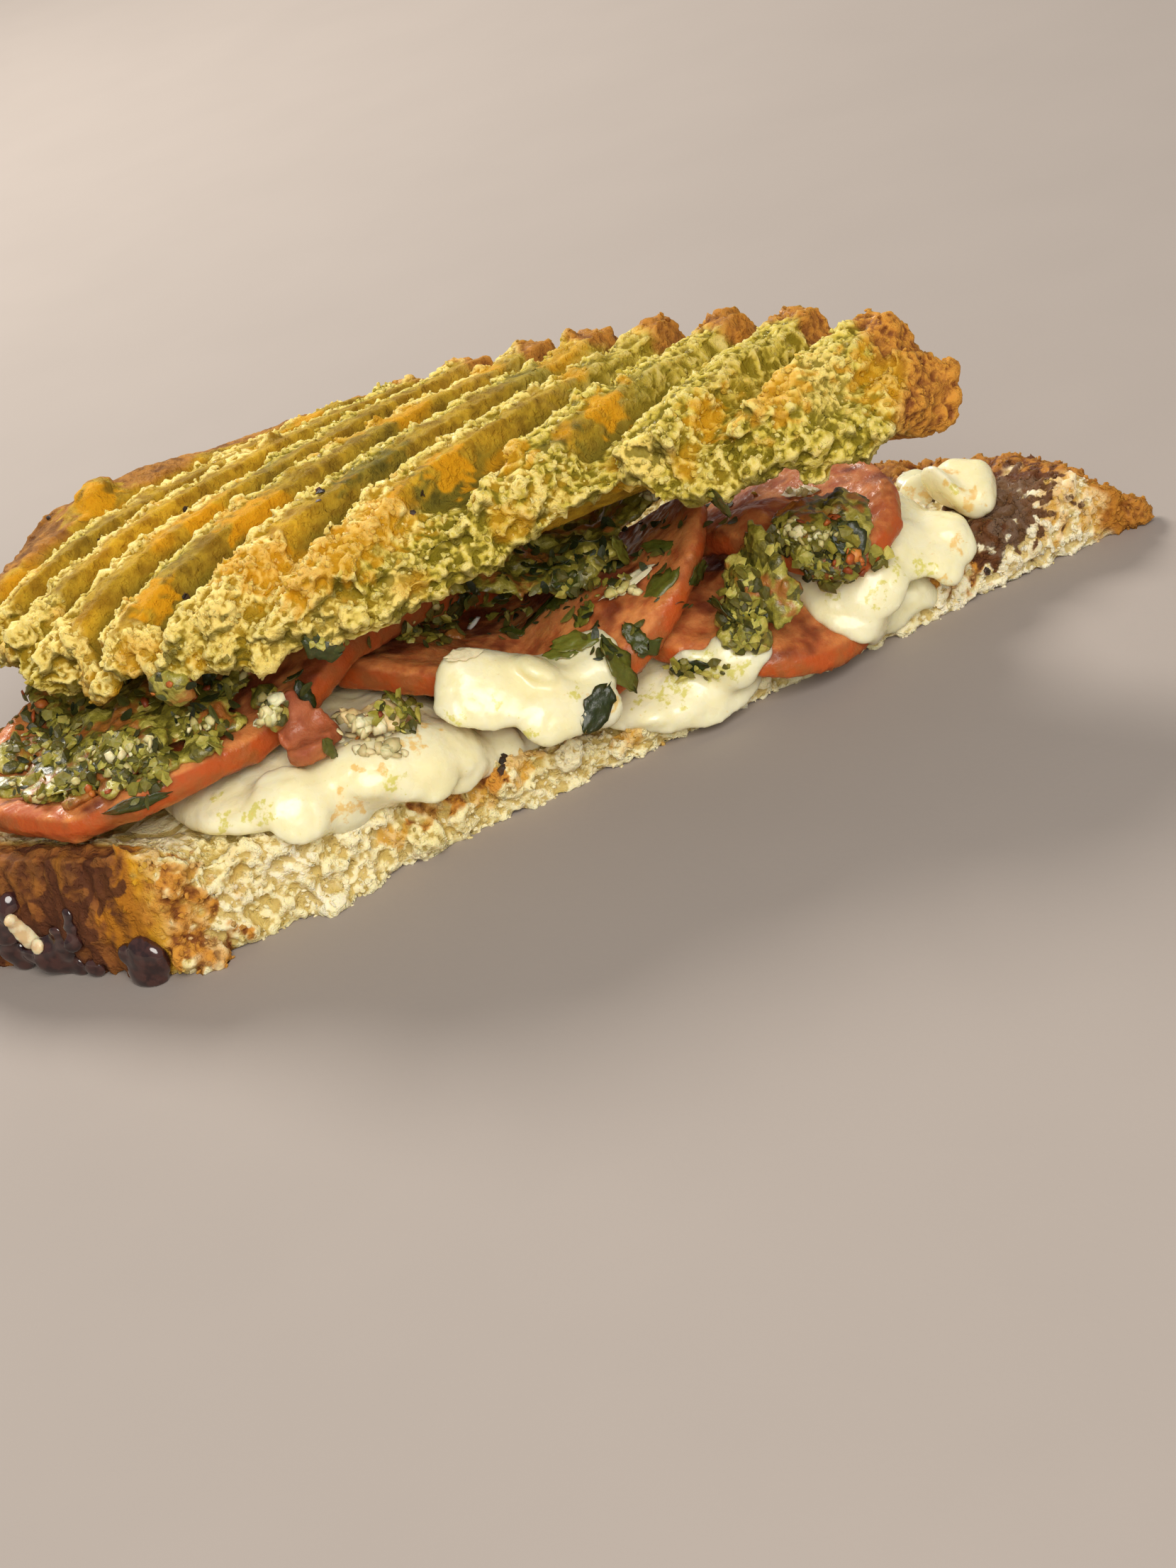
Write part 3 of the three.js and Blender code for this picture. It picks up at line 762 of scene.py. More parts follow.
def breadMaterial(name):
    board = Board(name, Roughness=0.7, Subsurface_Weight=0.22, Subsurface_Scale=0.003,
                  Subsurface_Radius=(1.0, 0.6, 0.2), Specular_IOR_Level=0.4, IOR=1.3)
    tones = {**breadTones["both"], **breadTones[name]}
    crumb, toast, oil, amber, pale, dark, crust, hollow, shade = (board.mask(n) for n in (
        "crumb", "toast", "oil", "amber", "pale", "dark", "crust", "hollow", "shade"))
    fine = board.noise(0.6, 3, 0.6)
    middling = board.noise(2.2, 3, 0.55)
    broad = board.noise(9, 3, 0.55)
    mottle = middling - 0.5
    # painted shade: the crumb, its green oil tone and its cream are darker in the pits
    pitShade = (hollow * 2.2 + fine * 0.6 + middling * 0.8).span(0.42, 0.95)   # 1 in the pits of the crumb
    # painted highlight: the tips of the crumb are lightened to the tip tone
    tip = (hollow * -2.0 + fine * 0.9).span(0.45, 1.1)                    # 1 on its tips
    golden = board.mix(*tones["golden"], middling.span(0.35, 0.65))
    olive = board.mix(*tones["olive"], middling.span(0.3, 0.7))
    green = board.mix(*tones["green"], pitShade)
    body = board.mix(board.mix(*tones["crumb"], pitShade), green, (oil * 0.9 + middling * 0.4).span(0.35, 0.9))
    body = board.mix(body, tones["tipHighlight"], tip * 0.52)
    body = board.mix(body, tones["cream"], pale * (1 - pitShade * 0.8))
    body = board.mix(board.mix(golden, olive, oil), body, crumb)
    # painted shade: grooves and the underside of the cut edge are mixed towards the dark shade tone
    body = board.mix(body, tones["shade"], (shade + mottle * 0.9).span(0.25, 1.0) * 0.8)
    body = board.mix(body, tones["amber"], (amber + mottle).span(0.1, 1.0) * (0.85 - crumb * 0.25))
    # toasted brown that varies at random, and is painted darker in the hollows as shade
    brown = board.mix(*tones["toast"], (fine * 0.5 + middling * 0.7 + hollow).span(0.4, 0.85))
    baked = board.mix(*tones["crust"], board.noise(4, 5, 0.65).span(0.38, 0.62))
    brown = board.mix(brown, baked, crust * 0.85)
    brown = board.mix(brown, tones["amberCrust"], amber * crust * 0.75)
    body = board.mix(body, brown, (toast + (broad - 0.5) * 0.8).span(0.3, 0.85))
    body = board.mix(body, tones["char"], (dark + mottle * 0.8).span(0.30, 0.75) * 0.92)
    bump = board.bump(abs(board.noise(1.0, 3, 0.55) - 0.5) * -1.0, 0.9, 0.8)
    bump = board.bump(board.noise(0.5, 4, 0.65), 0.22, 0.8, bump)
    rough = 0.78 - crumb * 0.48 * board.noise(0.9, 2).span(0.50, 0.66)
    return board.feed(Base_Color=body, Normal=bump, Roughness=rough)


# the filling

mozzarella = {
    "front": {
        "nodes": ["mozzarella_1", "mozzarella_2", "mozzarella_3"],
        "drops": [
            (420, 1150, 3.0, 0.4), (400, 1120, 3.0, 0.4), (440, 1155, 2.6, 0.5), (490, 1140, 2.8, 0.5),
            (520, 1085, 3.0, 0.6), (540, 1115, 2.6, 0.6), (570, 1085, 3.2, 0.6), (600, 1060, 3.2, 0.6),
            (600, 1030, 2.2, 0.6), (620, 1070, 2.6, 0.6), (650, 1055, 3.2, 0.6), (690, 1040, 3.0, 0.5),
            (730, 1030, 2.8, 0.5), (770, 1018, 2.6, 0.5), (805, 1008, 2.4, 0.5), (850, 1000, 2.2, 0.6),
            (880, 1003, 2.4, 0.5), (920, 1000, 2.4, 0.5), (960, 985, 2.6, 0.5), (1000, 965, 2.6, 0.6),
            (1040, 945, 2.2, 0.6), (1030, 920, 2.4, 0.6), (980, 940, 2.6, 0.6), (1065, 915, 2.0, 0.6),
            (925, 965, 2.2, 0.6), (760, 945, 2.4, 0.5), (500, 1085, 2.6, 0.5), (670, 1064, 3.0, 0.45),
            (702, 1058, 2.8, 0.45), (640, 1080, 3.0, 0.45), (738, 1046, 2.6, 0.45),
            (605, 1092, 3.0, 0.45),
        ],
        "stain": [
            (313, 1117, 1.0), (365, 1140, 1.6), (388, 1155, 0.8), (340, 1150, 1.2), (700, 995, 0.8),
            (745, 1035, 0.9), (640, 1020, 1.0), (960, 960, 2.5), (930, 975, 2.0), (905, 985, 1.2),
            (1000, 950, 2.4), (1040, 930, 2.0), (560, 1105, 1.5), (817, 985, 1.0), (310, 1160, 1.2),
        ],
        "toast": [
            (495, 1140, 2.0), (505, 1078, 0.8), (590, 1050, 1.6), (600, 1020, 1.5), (540, 1080, 1.0),
            (860, 985, 1.5),
        ],
    },
    "right": {
        "nodes": ["mozzarella_4"],
        "drops": [
            (1125, 822, 2.2, 0.6), (1145, 840, 2.4, 0.6), (1165, 862, 2.2, 0.6), (1185, 875, 2.2, 0.6),
            (1210, 885, 2.2, 0.6), (1235, 878, 2.4, 0.6), (1250, 860, 2.6, 0.6), (1180, 845, 2.8, 0.6),
            (1210, 850, 3.0, 0.6), (1240, 830, 3.0, 0.6), (1150, 825, 2.0, 0.6), (1270, 850, 2.2, 0.6),
            (1300, 830, 2.4, 0.5), (1335, 800, 2.2, 0.5), (1355, 770, 2.0, 0.5), (1330, 740, 2.6, 0.5),
            (1300, 700, 2.6, 0.5), (1290, 680, 2.2, 0.5),
        ],
        "stain": [
            (1165, 835, 1.2), (1240, 820, 1.0), (1225, 850, 1.5), (1310, 800, 1.5), (1275, 800, 1.5),
        ],
        "toast": [(1300, 700, 2.0), (1350, 770, 1.5), (1330, 830, 1.5)],
    },
    "curl": {
        "nodes": ["mozzarella_5"],
        "drops": [],
        "stain": [(1350, 690, 1.0)],
        "toast": [(1372, 700, 1.8), (1345, 655, 1.2), (1335, 690, 1.0)],
    },
}
meltedSkin = {"wider": 1.4, "flatter": 0.6, "sink": 0.42, "voxel": 0.45, "relax": 52}


def cheeseMaterial():
    board = Board("meltedMozzarella", Roughness=0.3, Subsurface_Weight=0.5, Subsurface_Scale=0.004,
                  Subsurface_Radius=(1.0, 0.8, 0.45), Specular_IOR_Level=0.5,
                  Coat_Weight=0.15, Coat_Roughness=0.12)
    cloud = board.noise(7, 3, 0.6)
    fine = board.noise(1.4, 3, 0.6)
    milk = board.mix((0.87, 0.78, 0.45), (0.88, 0.81, 0.54), (cloud * 0.7 + fine * 0.3).span(0.4, 0.62))
    green = (board.mask("stain") + (board.noise(0.8, 3, 0.6) - 0.5) * 4).span(0.6, 1.3)
    brown = (board.mask("toast") + (board.noise(1.1, 3, 0.6) - 0.5) * 4).span(0.6, 1.4)
    body = board.mix(milk, (0.62, 0.56, 0.07), green * 0.75)
    body = board.mix(body, (0.80, 0.48, 0.10), brown * 0.75)
    bump = board.bump(board.noise(3.5, 3, 0.5), 0.4, 0.5)
    bump = board.bump(fine, 0.08, 0.5, bump)
    wet = board.noise(2.5, 2).span(0.3, 0.7, (0.18, 0.40))
    return board.feed(Base_Color=body, Normal=bump, Roughness=wet)


def meltCheese():
    material = cheeseMaterial()
    for name, piece in mozzarella.items():
        drops = resized(piece["drops"], meltedSkin["wider"], meltedSkin["flatter"])
        mesh = heap(copyOf(*piece["nodes"]), drops=drops, sink=meltedSkin["sink"])
        mesh = fused(mesh, meltedSkin["voxel"], meltedSkin["relax"])
        co, no = readSkin(mesh)
        crease = smooth((0.20 - np.abs(grain(co, 7, 14, 2))) / 0.20)
        folds = 0.18 * grain(co, 6, 4) + 0.08 * grain(co, 1.8, 6) + 0.04 * grain(co, 0.9, 7) - 0.10 * crease
        swell(mesh, co, no, folds + 0.28)
        warp = co + 0.6 * mm * np.stack([grain(co, 1.6, k) for k in (71, 72, 73)], axis=1)
        writeMask(mesh, "stain", patches(warp, piece["stain"]))
        writeMask(mesh, "toast", patches(warp, piece["toast"]))
        addPiece("mozzarella_" + name, mesh, material, "mozzarella", *piece["nodes"])


def tomatoMaterial(name, deep, bright):
    board = Board(name, Roughness=0.4, Subsurface_Weight=0.3, Subsurface_Scale=0.003,
                  Subsurface_Radius=(1.0, 0.25, 0.1), Specular_IOR_Level=0.5, IOR=1.33)
    rim = board.mask("rim")
    fibre = board.noise(2.2, 4, 0.6)
    wet = (board.noise(5, 3, 0.6) * 0.6 + board.noise(1.1, 3, 0.6) * 0.4).span(0.46, 0.56)
    flesh = board.mix(deep, bright, (fibre * 0.6 + board.noise(8, 2) * 0.4).span(0.35, 0.65))
    flesh = board.mix(flesh, (0.66, 0.31, 0.08), board.noise(12, 2).span(0.58, 0.78) * 0.5)
    flesh = board.mix((0.17, 0.035, 0.010), flesh, board.noise(9, 3, 0.6).span(0.36, 0.52))
    skin = board.mix((0.46, 0.085, 0.014), (0.36, 0.105, 0.024), board.noise(3.5, 3).span(0.4, 0.65))
    body = board.mix(flesh, skin, rim)
    bump = board.bump(fibre, 0.45, 0.7)
    bump = board.bump(board.noise(0.7, 3, 0.6), 0.14, 0.7, bump)
    return board.feed(Base_Color=body, Normal=bump, Roughness=0.74 - wet * 0.46)


tomatoSlices = ["tomato_1", "tomato_2", "tomato_3", "tomato_4"]
tomatoTones = {
    "wetTomato": ((0.40, 0.09, 0.024), (0.68, 0.26, 0.075)),
    "cookedTomato": ((0.24, 0.055, 0.024), (0.42, 0.13, 0.055)),
}


def sliceTomato():
    fresh, cooked = (tomatoMaterial(name, *tones) for name, tones in tomatoTones.items())
    for node in tomatoSlices + ["tomato_scrap"]:
        scrap = node == "tomato_scrap"
        mesh = fused(copyOf(node), 0.55, 2)
        co, no = readSkin(mesh)
        pulp = 2.6 if scrap else 1
        swell(mesh, co, no, 0.26 * grain(co, 4, 4) + 0.13 * pulp * grain(co, 1.3, 6, 2))
        writeMask(mesh, "rim", 0.15 if scrap else smooth((0.75 - np.abs(no[:, 2])) / 0.4))
        addPiece(node + "_wet", mesh, cooked if scrap else fresh, "tomato", node)


pestoTones = ((0.0, (0.012, 0.016, 0.003)), (0.22, (0.045, 0.045, 0.006)), (0.42, (0.15, 0.125, 0.014)),
              (0.62, (0.30, 0.26, 0.03)), (0.82, (0.48, 0.41, 0.08)), (1.0, (0.75, 0.62, 0.28)))
pestoDrops = {
    "pesto_left": [
        (14, 1075, 3.4, 0.4), (22, 1118, 3.0, 0.4), (62, 1128, 2.6, 0.4), (112, 1132, 2.4, 0.4),
        (165, 1112, 2.6, 0.4), (228, 1085, 2.8, 0.4), (282, 1060, 2.6, 0.4), (325, 1025, 2.4, 0.4),
        (180, 1062, 3.0, 0.6), (150, 1075, 2.4, 0.6), (215, 1050, 2.4, 0.6), (285, 1025, 2.2, 0.6),
        (60, 1060, 3.0, 0.5), (375, 985, 2.0, 0.6), (385, 1010, 2.0, 0.6), (245, 965, 3.0, 0.5),
    ],
    "pesto_middle": [
        (620, 870, 2.4, 0.5), (575, 895, 2.0, 0.5), (640, 900, 1.6, 0.5), (820, 790, 3.0, 0.4),
        (790, 820, 2.4, 0.4), (850, 780, 2.4, 0.4),
    ],
    "pesto_right": [
        (1150, 750, 2.6, 0.5), (1180, 790, 3.0, 0.6), (1150, 790, 2.4, 0.6), (1105, 765, 2.0, 0.6),
        (1200, 765, 2.4, 0.6), (1170, 815, 1.8, 0.6), (1130, 745, 2.0, 0.5),
    ],
    "pesto_edge": [
        (1045, 815, 2.4, 0.6), (1055, 845, 3.0, 0.7), (1040, 875, 2.8, 0.7), (1065, 885, 2.6, 0.7),
        (1030, 900, 1.8, 0.6), (1072, 905, 1.8, 0.6), (1038, 800, 1.6, 0.5),
    ],
}


def pestoMaterial():
    board = Board("coarsePesto", Roughness=0.4, Specular_IOR_Level=0.5, Coat_Weight=0.2, Coat_Roughness=0.15)
    lump = board.node("ShaderNodeTexVoronoi", None, {"Vector": board.place, "Scale": 0.62}, "Color")
    tone = lump * 0.70 + board.noise(1.1, 4, 0.65) * 0.9 - 0.28
    body = board.ramp(tone, *pestoTones)
    body = board.mix(body, (0.36, 0.10, 0.018), board.noise(5, 3, 0.6).span(0.50, 0.60) * 0.8)
    return board.feed(Base_Color=body, Normal=board.bump(board.noise(0.7, 3, 0.6), 0.3, 0.8))


def bitMaterial(name, stops, roughness=0.5, coat=0.05):
    board = Board(name, Roughness=roughness, Specular_IOR_Level=0.4, Subsurface_Weight=0.2,
                  Subsurface_Scale=0.001, Coat_Weight=coat, Coat_Roughness=0.15)
    body = board.ramp(board.mask("tone") + (board.noise(0.8, 3, 0.6) - 0.5) * 0.5, *stops)
    return board.feed(Base_Color=body, Normal=board.bump(board.noise(0.5, 3, 0.6), 0.12, 0.7))


flakeTones = ((0.0, (0.30, 0.20, 0.07)), (0.5, (0.66, 0.47, 0.20)), (1.0, (0.86, 0.70, 0.40)))


def facingUp(_, n):
    return 1.0 * (n[:, 2] > 0)


def spreadPesto():
    material = pestoMaterial()
    for node, drops in pestoDrops.items():
        base = copyOf(node)
        places = crumbPlaces(base, density=0.14, seed=31, size=(0.8, 2.2), chance=facingUp, flat=(0.3, 0.6))
        mesh = fused(heap(base, places, drops), 0.42, 1)
        co, no = readSkin(mesh)
        swell(mesh, co, no, 0.50 * grain(co, 2.2, 4, 2) + 0.26 * grain(co, 0.9, 6))
        addPiece(node + "_paste", mesh, material, "pesto", node)
    mesh = fused(copyOf("pesto_cheese"), 0.4, 1)
    co, no = readSkin(mesh)
    swell(mesh, co, no, 0.45 * grain(co, 1.8, 4) + 0.2 * grain(co, 0.8, 6))
    writeMask(mesh, "tone", 0.5 + 0.5 * grain(co, 2, 9))
    flake = bitMaterial("meltedFlake", flakeTones)
    addPiece("pesto_cheese_flake", mesh, flake, "cheese_flake", "pesto_cheese")


# zones where bits lie: centre and half size in pixels of the photograph, how many
bits = {
    "leaf_bits": {
        "size": (0.9, 2.6), "slot": "pesto", "shape": "leaf",
        "stops": ((0.0, (0.010, 0.016, 0.003)), (0.5, (0.035, 0.045, 0.008)), (1.0, (0.14, 0.13, 0.02))),
        "zones": [
            (760, 870, 60, 10, 8), (720, 890, 40, 18, 7), (830, 870, 22, 18, 5), (835, 915, 45, 20, 9),
            (800, 850, 60, 12, 9), (830, 800, 50, 38, 34), (770, 810, 40, 30, 18), (930, 775, 40, 12, 6),
            (1010, 710, 25, 14, 3), (900, 740, 60, 16, 10), (1000, 740, 60, 12, 6), (890, 885, 20, 12, 4),
            (950, 860, 40, 18, 4), (700, 770, 60, 28, 18), (620, 800, 40, 22, 10), (300, 980, 40, 34, 26),
            (60, 1010, 50, 28, 12), (100, 1060, 60, 38, 16), (40, 1100, 40, 28, 10),
            (180, 1130, 50, 8, 4), (430, 965, 28, 12, 5), (480, 900, 48, 14, 8), (600, 890, 28, 22, 8),
            (640, 870, 18, 28, 7), (230, 1000, 60, 28, 14), (150, 990, 60, 18, 10),
            (1170, 770, 42, 36, 12), (1100, 760, 18, 18, 4), (1250, 785, 10, 8, 3),
            (1040, 860, 20, 44, 12), (680, 830, 60, 25, 12), (900, 800, 40, 20, 6),
        ],
    },
    "pesto_lumps": {
        "size": (0.8, 2.3), "slot": "pesto", "shape": "crumb",
        "stops": ((0.0, (0.03, 0.032, 0.006)), (0.4, (0.13, 0.11, 0.014)), (0.75, (0.30, 0.26, 0.03)),
                  (1.0, (0.54, 0.46, 0.10))),
        "zones": [
            (180, 1068, 60, 32, 120), (60, 1040, 60, 36, 70), (20, 960, 38, 26, 26),
            (90, 1110, 50, 22, 26), (200, 1100, 40, 18, 24), (290, 1035, 40, 22, 34),
            (380, 1000, 24, 24, 12), (620, 880, 24, 34, 34), (575, 895, 18, 14, 16),
            (1050, 855, 32, 60, 120), (1170, 785, 45, 44, 100), (1105, 765, 22, 22, 26),
            (985, 945, 45, 14, 22), (700, 860, 60, 18, 16), (830, 810, 60, 34, 26),
            (562, 1010, 34, 30, 36), (100, 960, 80, 18, 40), (250, 930, 60, 14, 14),
            (450, 905, 40, 10, 14), (1240, 785, 16, 12, 10), (760, 730, 60, 20, 14),
            (1030, 690, 50, 12, 8),
        ],
    },
    "cream_bits": {
        "size": (0.7, 1.7), "slot": "cheese_flake", "shape": "crumb", "soft": True,
        "stops": ((0.0, (0.40, 0.34, 0.10)), (0.6, (0.62, 0.53, 0.23)), (1.0, (0.80, 0.72, 0.42))),
        "zones": [
            (200, 1043, 14, 6, 3), (272, 1020, 30, 11, 12), (380, 1000, 18, 20, 16),
            (150, 1070, 50, 24, 16), (1125, 750, 30, 22, 14), (1165, 765, 20, 18, 8),
            (1130, 694, 20, 5, 8), (930, 698, 28, 6, 8), (60, 1100, 50, 28, 9), (880, 832, 24, 6, 10),
            (350, 945, 40, 12, 6), (600, 870, 40, 20, 4),
        ],
    },
    "tomato_bits": {
        "size": (0.8, 2.0), "slot": "tomato", "shape": "crumb", "soft": True,
        "stops": ((0.0, (0.20, 0.035, 0.008)), (0.6, (0.40, 0.085, 0.012)), (1.0, (0.56, 0.20, 0.03))),
        "zones": [
            (1190, 800, 40, 30, 7), (1150, 735, 30, 14, 4), (1215, 795, 12, 14, 5), (60, 1000, 60, 30, 6),
            (250, 980, 60, 24, 5), (520, 1030, 40, 24, 4), (120, 1120, 60, 14, 4),
        ],
    },
    "cheese_knobs": {
        "size": (1.0, 2.2), "slot": "cheese_flake", "shape": "crumb", "soft": True,
        "stops": ((0.0, (0.50, 0.42, 0.13)), (0.6, (0.72, 0.62, 0.30)), (1.0, (0.84, 0.76, 0.48))),
        "zones": [
            (668, 882, 1, 1, 2), (382, 995, 14, 24, 12), (365, 1015, 10, 10, 4), (877, 834, 27, 5, 8),
            (1120, 745, 22, 14, 5), (215, 1050, 20, 10, 3),
        ],
    },
    "cheese_bead": {
        "size": (2.6, 2.9), "slot": "cheese_flake", "shape": "crumb", "soft": True,
        "stops": ((0.0, (0.80, 0.74, 0.58)), (1.0, (0.90, 0.86, 0.74))),
        "zones": [(668, 884, 1, 1, 1)],
    },
    "charred_specks": {
        "size": (0.7, 1.3), "slot": "upper_bread", "shape": "crumb", "on": "bread",
        "stops": ((0.0, (0.015, 0.010, 0.006)), (1.0, (0.06, 0.03, 0.015))),
        "zones": [
            (67, 731, 2, 3, 2), (261, 718, 2, 2, 2), (139, 761, 2, 2, 1), (452, 694, 3, 3, 2),
            (450, 705, 2, 2, 1), (262, 842, 3, 3, 2), (595, 698, 2, 2, 2), (583, 722, 2, 2, 1),
            (1392, 805, 3, 3, 3), (710, 1080, 2, 14, 8),
        ],
    },
    "flaked_cheese": {
        "size": (0.9, 2.4), "slot": "cheese_flake", "shape": "crumb", "soft": True,
        "stops": ((0.0, (0.52, 0.42, 0.18)), (0.6, (0.74, 0.62, 0.33)), (1.0, (0.86, 0.78, 0.52))),
        "zones": [(520, 1038, 42, 24, 34), (500, 1015, 25, 10, 8), (555, 1055, 20, 14, 8)],
    },
}


def chipShape(seed):
    def build(bm):
        bmesh.ops.create_icosphere(bm, subdivisions=1, radius=1)
        for v in bm.verts:
            v.co *= 1 + 0.95 * noise.noise(v.co * 1.1 + Vector((seed * 5.3, 2, 0)))
            v.co.z *= 0.6
    return shapeMesh(build)


def leafShape(bm):
    bmesh.ops.create_grid(bm, x_segments=4, y_segments=2, size=1)
    for v in bm.verts:
        v.co.y *= 0.55 * (1 - 0.75 * v.co.x ** 2)
        v.co.z = 0.25 * v.co.x ** 2 - 0.3 * v.co.y ** 2
    bmesh.ops.solidify(bm, geom=bm.faces[:], thickness=0.12)


def bitSpot(kind, zone, rng):                              # where one bit lands, or None off its ground
    cx, cy, rx, ry, _ = zone
    turn, far = rng.uniform(0, 2 * math.pi), math.sqrt(rng.random())
    at, out, obj = aim(cx + rx * far * math.cos(turn), cy + ry * far * math.sin(turn))
    if at is None or obj.name == "floor":
        return None
    bread = obj.name in ("bottom_bread", "top_bread", "top_crumbs", "bottom_crumbs")
    return (at, out) if bread == (kind.get("on") == "bread") else None


def layBits():
    leaf = shapeMesh(leafShape)
    chips = [chipShape(n) for n in range(6)]
    for name, kind in bits.items():
        rng = np.random.default_rng(len(name) * 7)
        shapes = [leaf] if kind["shape"] == "leaf" else chips
        small, large = kind["size"]
        places, tones = [], []
        for zone in kind["zones"]:
            for _ in range(zone[4]):
                spot = bitSpot(kind, zone, rng)
                if spot is None:
                    continue
                at, out = spot
                r = (small + (large - small) * rng.random() ** 1.6) / 2 * mm
                lean = (out + Vector(rng.normal(0, 0.35, 3))).normalized()
                scale = Matrix.Diagonal((r, r * rng.uniform(0.6, 1), r * rng.uniform(0.5, 0.9), 1))
                turn = Matrix.Translation(at + out * r * 0.3) @ alignTo(lean, rng.uniform(0, 6.28))
                places.append((int(rng.integers(len(shapes))), turn @ scale))
                tones.append(rng.random())
        bm = bmesh.new()
        sizes = strew(bm, shapes, places)
        mesh = meshFrom(bm, name)
        writeMask(mesh, "tone", np.repeat(tones, sizes))
        addPiece(name, mesh, bitMaterial(name + "Finish", kind["stops"]), kind["slot"])
        if not kind.get("soft"):
            mesh.shade_flat()


# chopped basil: (px, py, length, width in mm, turn as seen, arch)
basil = [
    (872, 938, 8, 4, -35, 0.5), (928, 829, 7, 4, 25, 0.5), (982, 809, 4.2, 3, 5, 0.4),
    (1034, 872, 7.5, 3.6, -65, 0.5), (842, 1000, 6.5, 3.6, 62, 0.5), (1015, 705, 4.6, 2.4, -45, 0.4),
    (800, 822, 5, 3, 10, 0.4), (852, 800, 6, 3, -20, 0.5), (762, 800, 5, 3, 30, 0.4),
    (872, 775, 5, 2.4, -10, 0.3), (790, 846, 5, 2.4, 0, 0.3), (760, 868, 6.5, 2, 4, 0.3),
    (724, 893, 3.2, 2.2, 0, 0.4), (826, 868, 3.6, 3, 80, 0.4), (812, 906, 6, 2.8, -8, 0.5),
    (790, 925, 5, 2, 12, 0.3), (896, 900, 4.6, 2.4, -50, 0.5), (915, 912, 4, 2.4, 20, 0.4),
    (932, 772, 5.5, 1.8, -18, 0.3), (430, 983, 4.6, 2.2, -60, 0.7), (132, 1101, 6, 2.4, 12, 0.5),
    (194, 1132, 8, 1.5, 10, 0.3), (284, 986, 7.5, 5, 0, 0.4), (1198, 765, 5.5, 4.2, -55, 0.5),
    (463, 1055, 3.6, 1.8, -30, 0.5), (566, 996, 5, 3, 5, 0.5), (452, 912, 5, 3, -20, 0.4),
    (700, 845, 5, 2.4, 15, 0.4), (300, 955, 5, 3, 30, 0.4), (652, 850, 3.6, 2, 60, 0.5),
    (1042, 905, 3.6, 2, -70, 0.4), (975, 940, 5, 2.4, 20, 0.4),
]
cheeseStrips = [
    (877, 832, 9.5, 2.0, 32, 0.3), (1130, 696, 5, 1.8, -15, 0.4), (655, 925, 5, 1.6, 25, 0.3),
]


def leafMesh(shift, arch):                                 # ragged, arched and crinkled
    bm = bmesh.new()
    bmesh.ops.create_grid(bm, x_segments=12, y_segments=6, size=1)
    for v in bm.verts:
        x, y = v.co.x, v.co.y
        ragged = 0.55 * noise.noise(Vector((x * 2.6, math.copysign(3, y), 0)) + shift)
        edge = 1 - 0.8 * abs(x) ** 3 + ragged
        crinkle = 0.42 * noise.noise(Vector((x * 2.2, y * 2.4, 0)) + shift)
        crinkle += 0.18 * noise.noise(Vector((x * 5, y * 5, 0)) + shift)
        bow = arch * (0.2 - x * x * 0.5 - abs(y) * 0.4) * 0.5
        v.co = (x + 0.3 * noise.noise(Vector((y * 2, 0, 0)) + shift), y * edge, bow + crinkle)
    bmesh.ops.solidify(bm, geom=bm.faces[:], thickness=0.1)
    bmesh.ops.recalc_face_normals(bm, faces=bm.faces)
    return bm


def layLeaves(name, leaves, slot, material):
    rng = np.random.default_rng(5)
    whole = bmesh.new()
    tones, sizes = [], []
    for px, py, length, width, turn, arch in leaves:
        at, out, _ = aim(px, py)
        bm = leafMesh(Vector((px * 0.37, py * 0.21, 0)), arch)
        scale = Matrix.Diagonal((length / 2 * mm, width / 2 * mm, min(length, 2 * width) / 5 * mm, 1))
        bm.transform(Matrix.Translation(at + out * 0.35 * mm) @ seenTurn(out, turn) @ scale)
        leaf = meshFrom(bm, "leaf")
        whole.from_mesh(leaf)
        tones.append(rng.random())
        sizes.append(len(leaf.vertices))
        bpy.data.meshes.remove(leaf)
    mesh = meshFrom(whole, name)
    writeMask(mesh, "tone", np.repeat(tones, sizes))
    addPiece(name, mesh, material, slot)


leafTones = ((0.0, (0.016, 0.024, 0.003)), (0.6, (0.06, 0.07, 0.008)), (1.0, (0.16, 0.16, 0.02)))
stripTones = ((0.0, (0.62, 0.45, 0.24)), (1.0, (0.84, 0.72, 0.48)))


def layBasil():
    layLeaves("basil_leaves", basil, "pesto", bitMaterial("wetBasil", leafTones, 0.36, 0.08))
    layLeaves("cheese_strips", cheeseStrips, "cheese_flake", bitMaterial("softStrip", stripTones))


glaze = {
    "drops": [
        (213, 1350, 2.6, 0.6), (214, 1370, 2.6, 0.7), (211, 1388, 2.2, 0.7), (225, 1374, 1.6, 0.7),
        (75, 1348, 2.2, 0.5), (92, 1334, 1.8, 0.5), (97, 1352, 2.0, 0.5), (112, 1360, 1.6, 0.5),
        (50, 1346, 1.6, 0.5), (22, 1338, 2.0, 0.5), (8, 1310, 2.0, 0.5), (6, 1290, 1.4, 0.5),
        (34, 1350, 1.6, 0.5), (135, 1364, 1.3, 0.5), (100, 1308, 1.0, 0.5), (96, 1290, 0.9, 0.5),
        (186, 1345, 1.6, 0.5), (200, 1336, 1.6, 0.5), (15, 1272, 1.3, 0.5), (82, 1315, 1.2, 0.5),
        (70, 1330, 1.4, 0.5), (104, 1330, 1.2, 0.5),
    ],
    "cream": [
        (14, 1298, 0.9, 0.6), (24, 1306, 1.1, 0.6), (34, 1315, 1.2, 0.6), (44, 1325, 1.2, 0.6),
        (54, 1335, 1.0, 0.6),
    ],
}


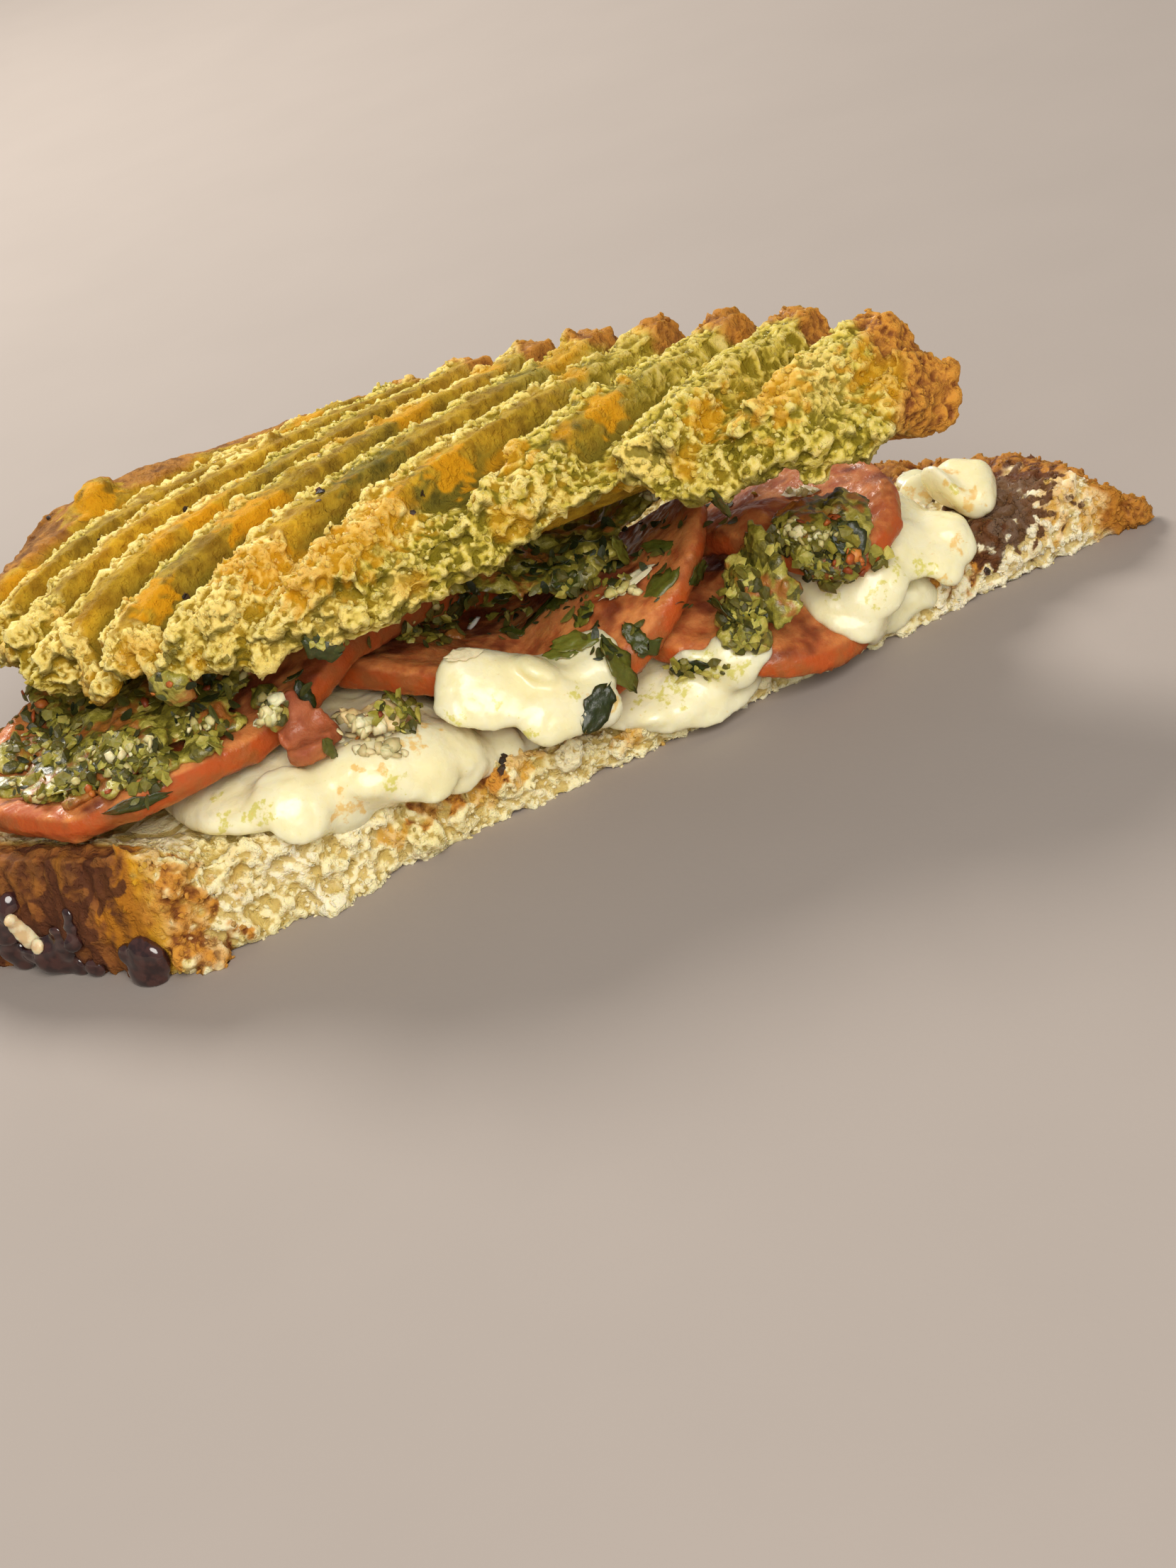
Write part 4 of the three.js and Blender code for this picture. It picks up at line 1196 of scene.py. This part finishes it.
def glazeMaterial():
    board = Board("balsamicGlaze", Roughness=0.12, Specular_IOR_Level=0.6,
                  Coat_Weight=0.6, Coat_Roughness=0.05)
    tone = board.mix((0.020, 0.006, 0.006), (0.055, 0.018, 0.014), board.noise(1.5, 3).span(0.4, 0.6))
    return board.feed(Base_Color=tone, Normal=board.bump(board.noise(1.8, 2), 0.15, 0.5))


def creamMaterial():
    board = Board("creamDrip", Roughness=0.35, Subsurface_Weight=0.3, Subsurface_Scale=0.002)
    tone = board.mix((0.72, 0.50, 0.26), (0.86, 0.72, 0.46), board.noise(1.2, 3).span(0.4, 0.6))
    return board.feed(Base_Color=tone)


def drip(name, drops, material, slot):
    bm = bmesh.new()
    blobs(bm, resized(drops, 1.2, 0.9), 0.36)
    mesh = fused(meshFrom(bm, name), 0.3, 9)
    co = readPoints(mesh)
    co[:, 2] = np.maximum(co[:, 2], 0.1 * mm)              # none of it sinks into the table
    writePoints(mesh, co)
    addPiece(name, mesh, material, slot)


def dripGlaze():
    dark, cream = glazeMaterial(), creamMaterial()
    drip("balsamic_drips", glaze["drops"], dark, "lower_bread")
    drip("cream_drip", glaze["cream"], cream, "mozzarella")


def layFloor():
    bm = bmesh.new()
    bmesh.ops.create_grid(bm, x_segments=1, y_segments=1, size=2.5)
    mesh = meshFrom(bm, "floor")
    floor = bpy.data.objects.new("floor", mesh)
    bpy.context.scene.collection.objects.link(floor)
    board = Board("paleFloor", Roughness=0.75, Specular_IOR_Level=0.2)
    worn = tuple(c * 0.93 for c in studio["floor"])
    tone = board.mix(studio["floor"], worn, board.noise(30, 3))
    mesh.materials.append(board.feed(Base_Color=tone, Normal=board.bump(board.noise(0.8, 2), 0.05, 0.4)))


# everything is put in its place

addCamera()
addSky()
addLight("key", studio["key"])
addLight("front", studio["front"])
layFloor()
print("floor, camera and lights are in")

bakeBottom()
bakeTop()
print("bread is baked")
meltCheese()
sliceTomato()
spreadPesto()
print("filling is laid")
dripGlaze()
layBasil()
layBits()
print("toppings are strewn")
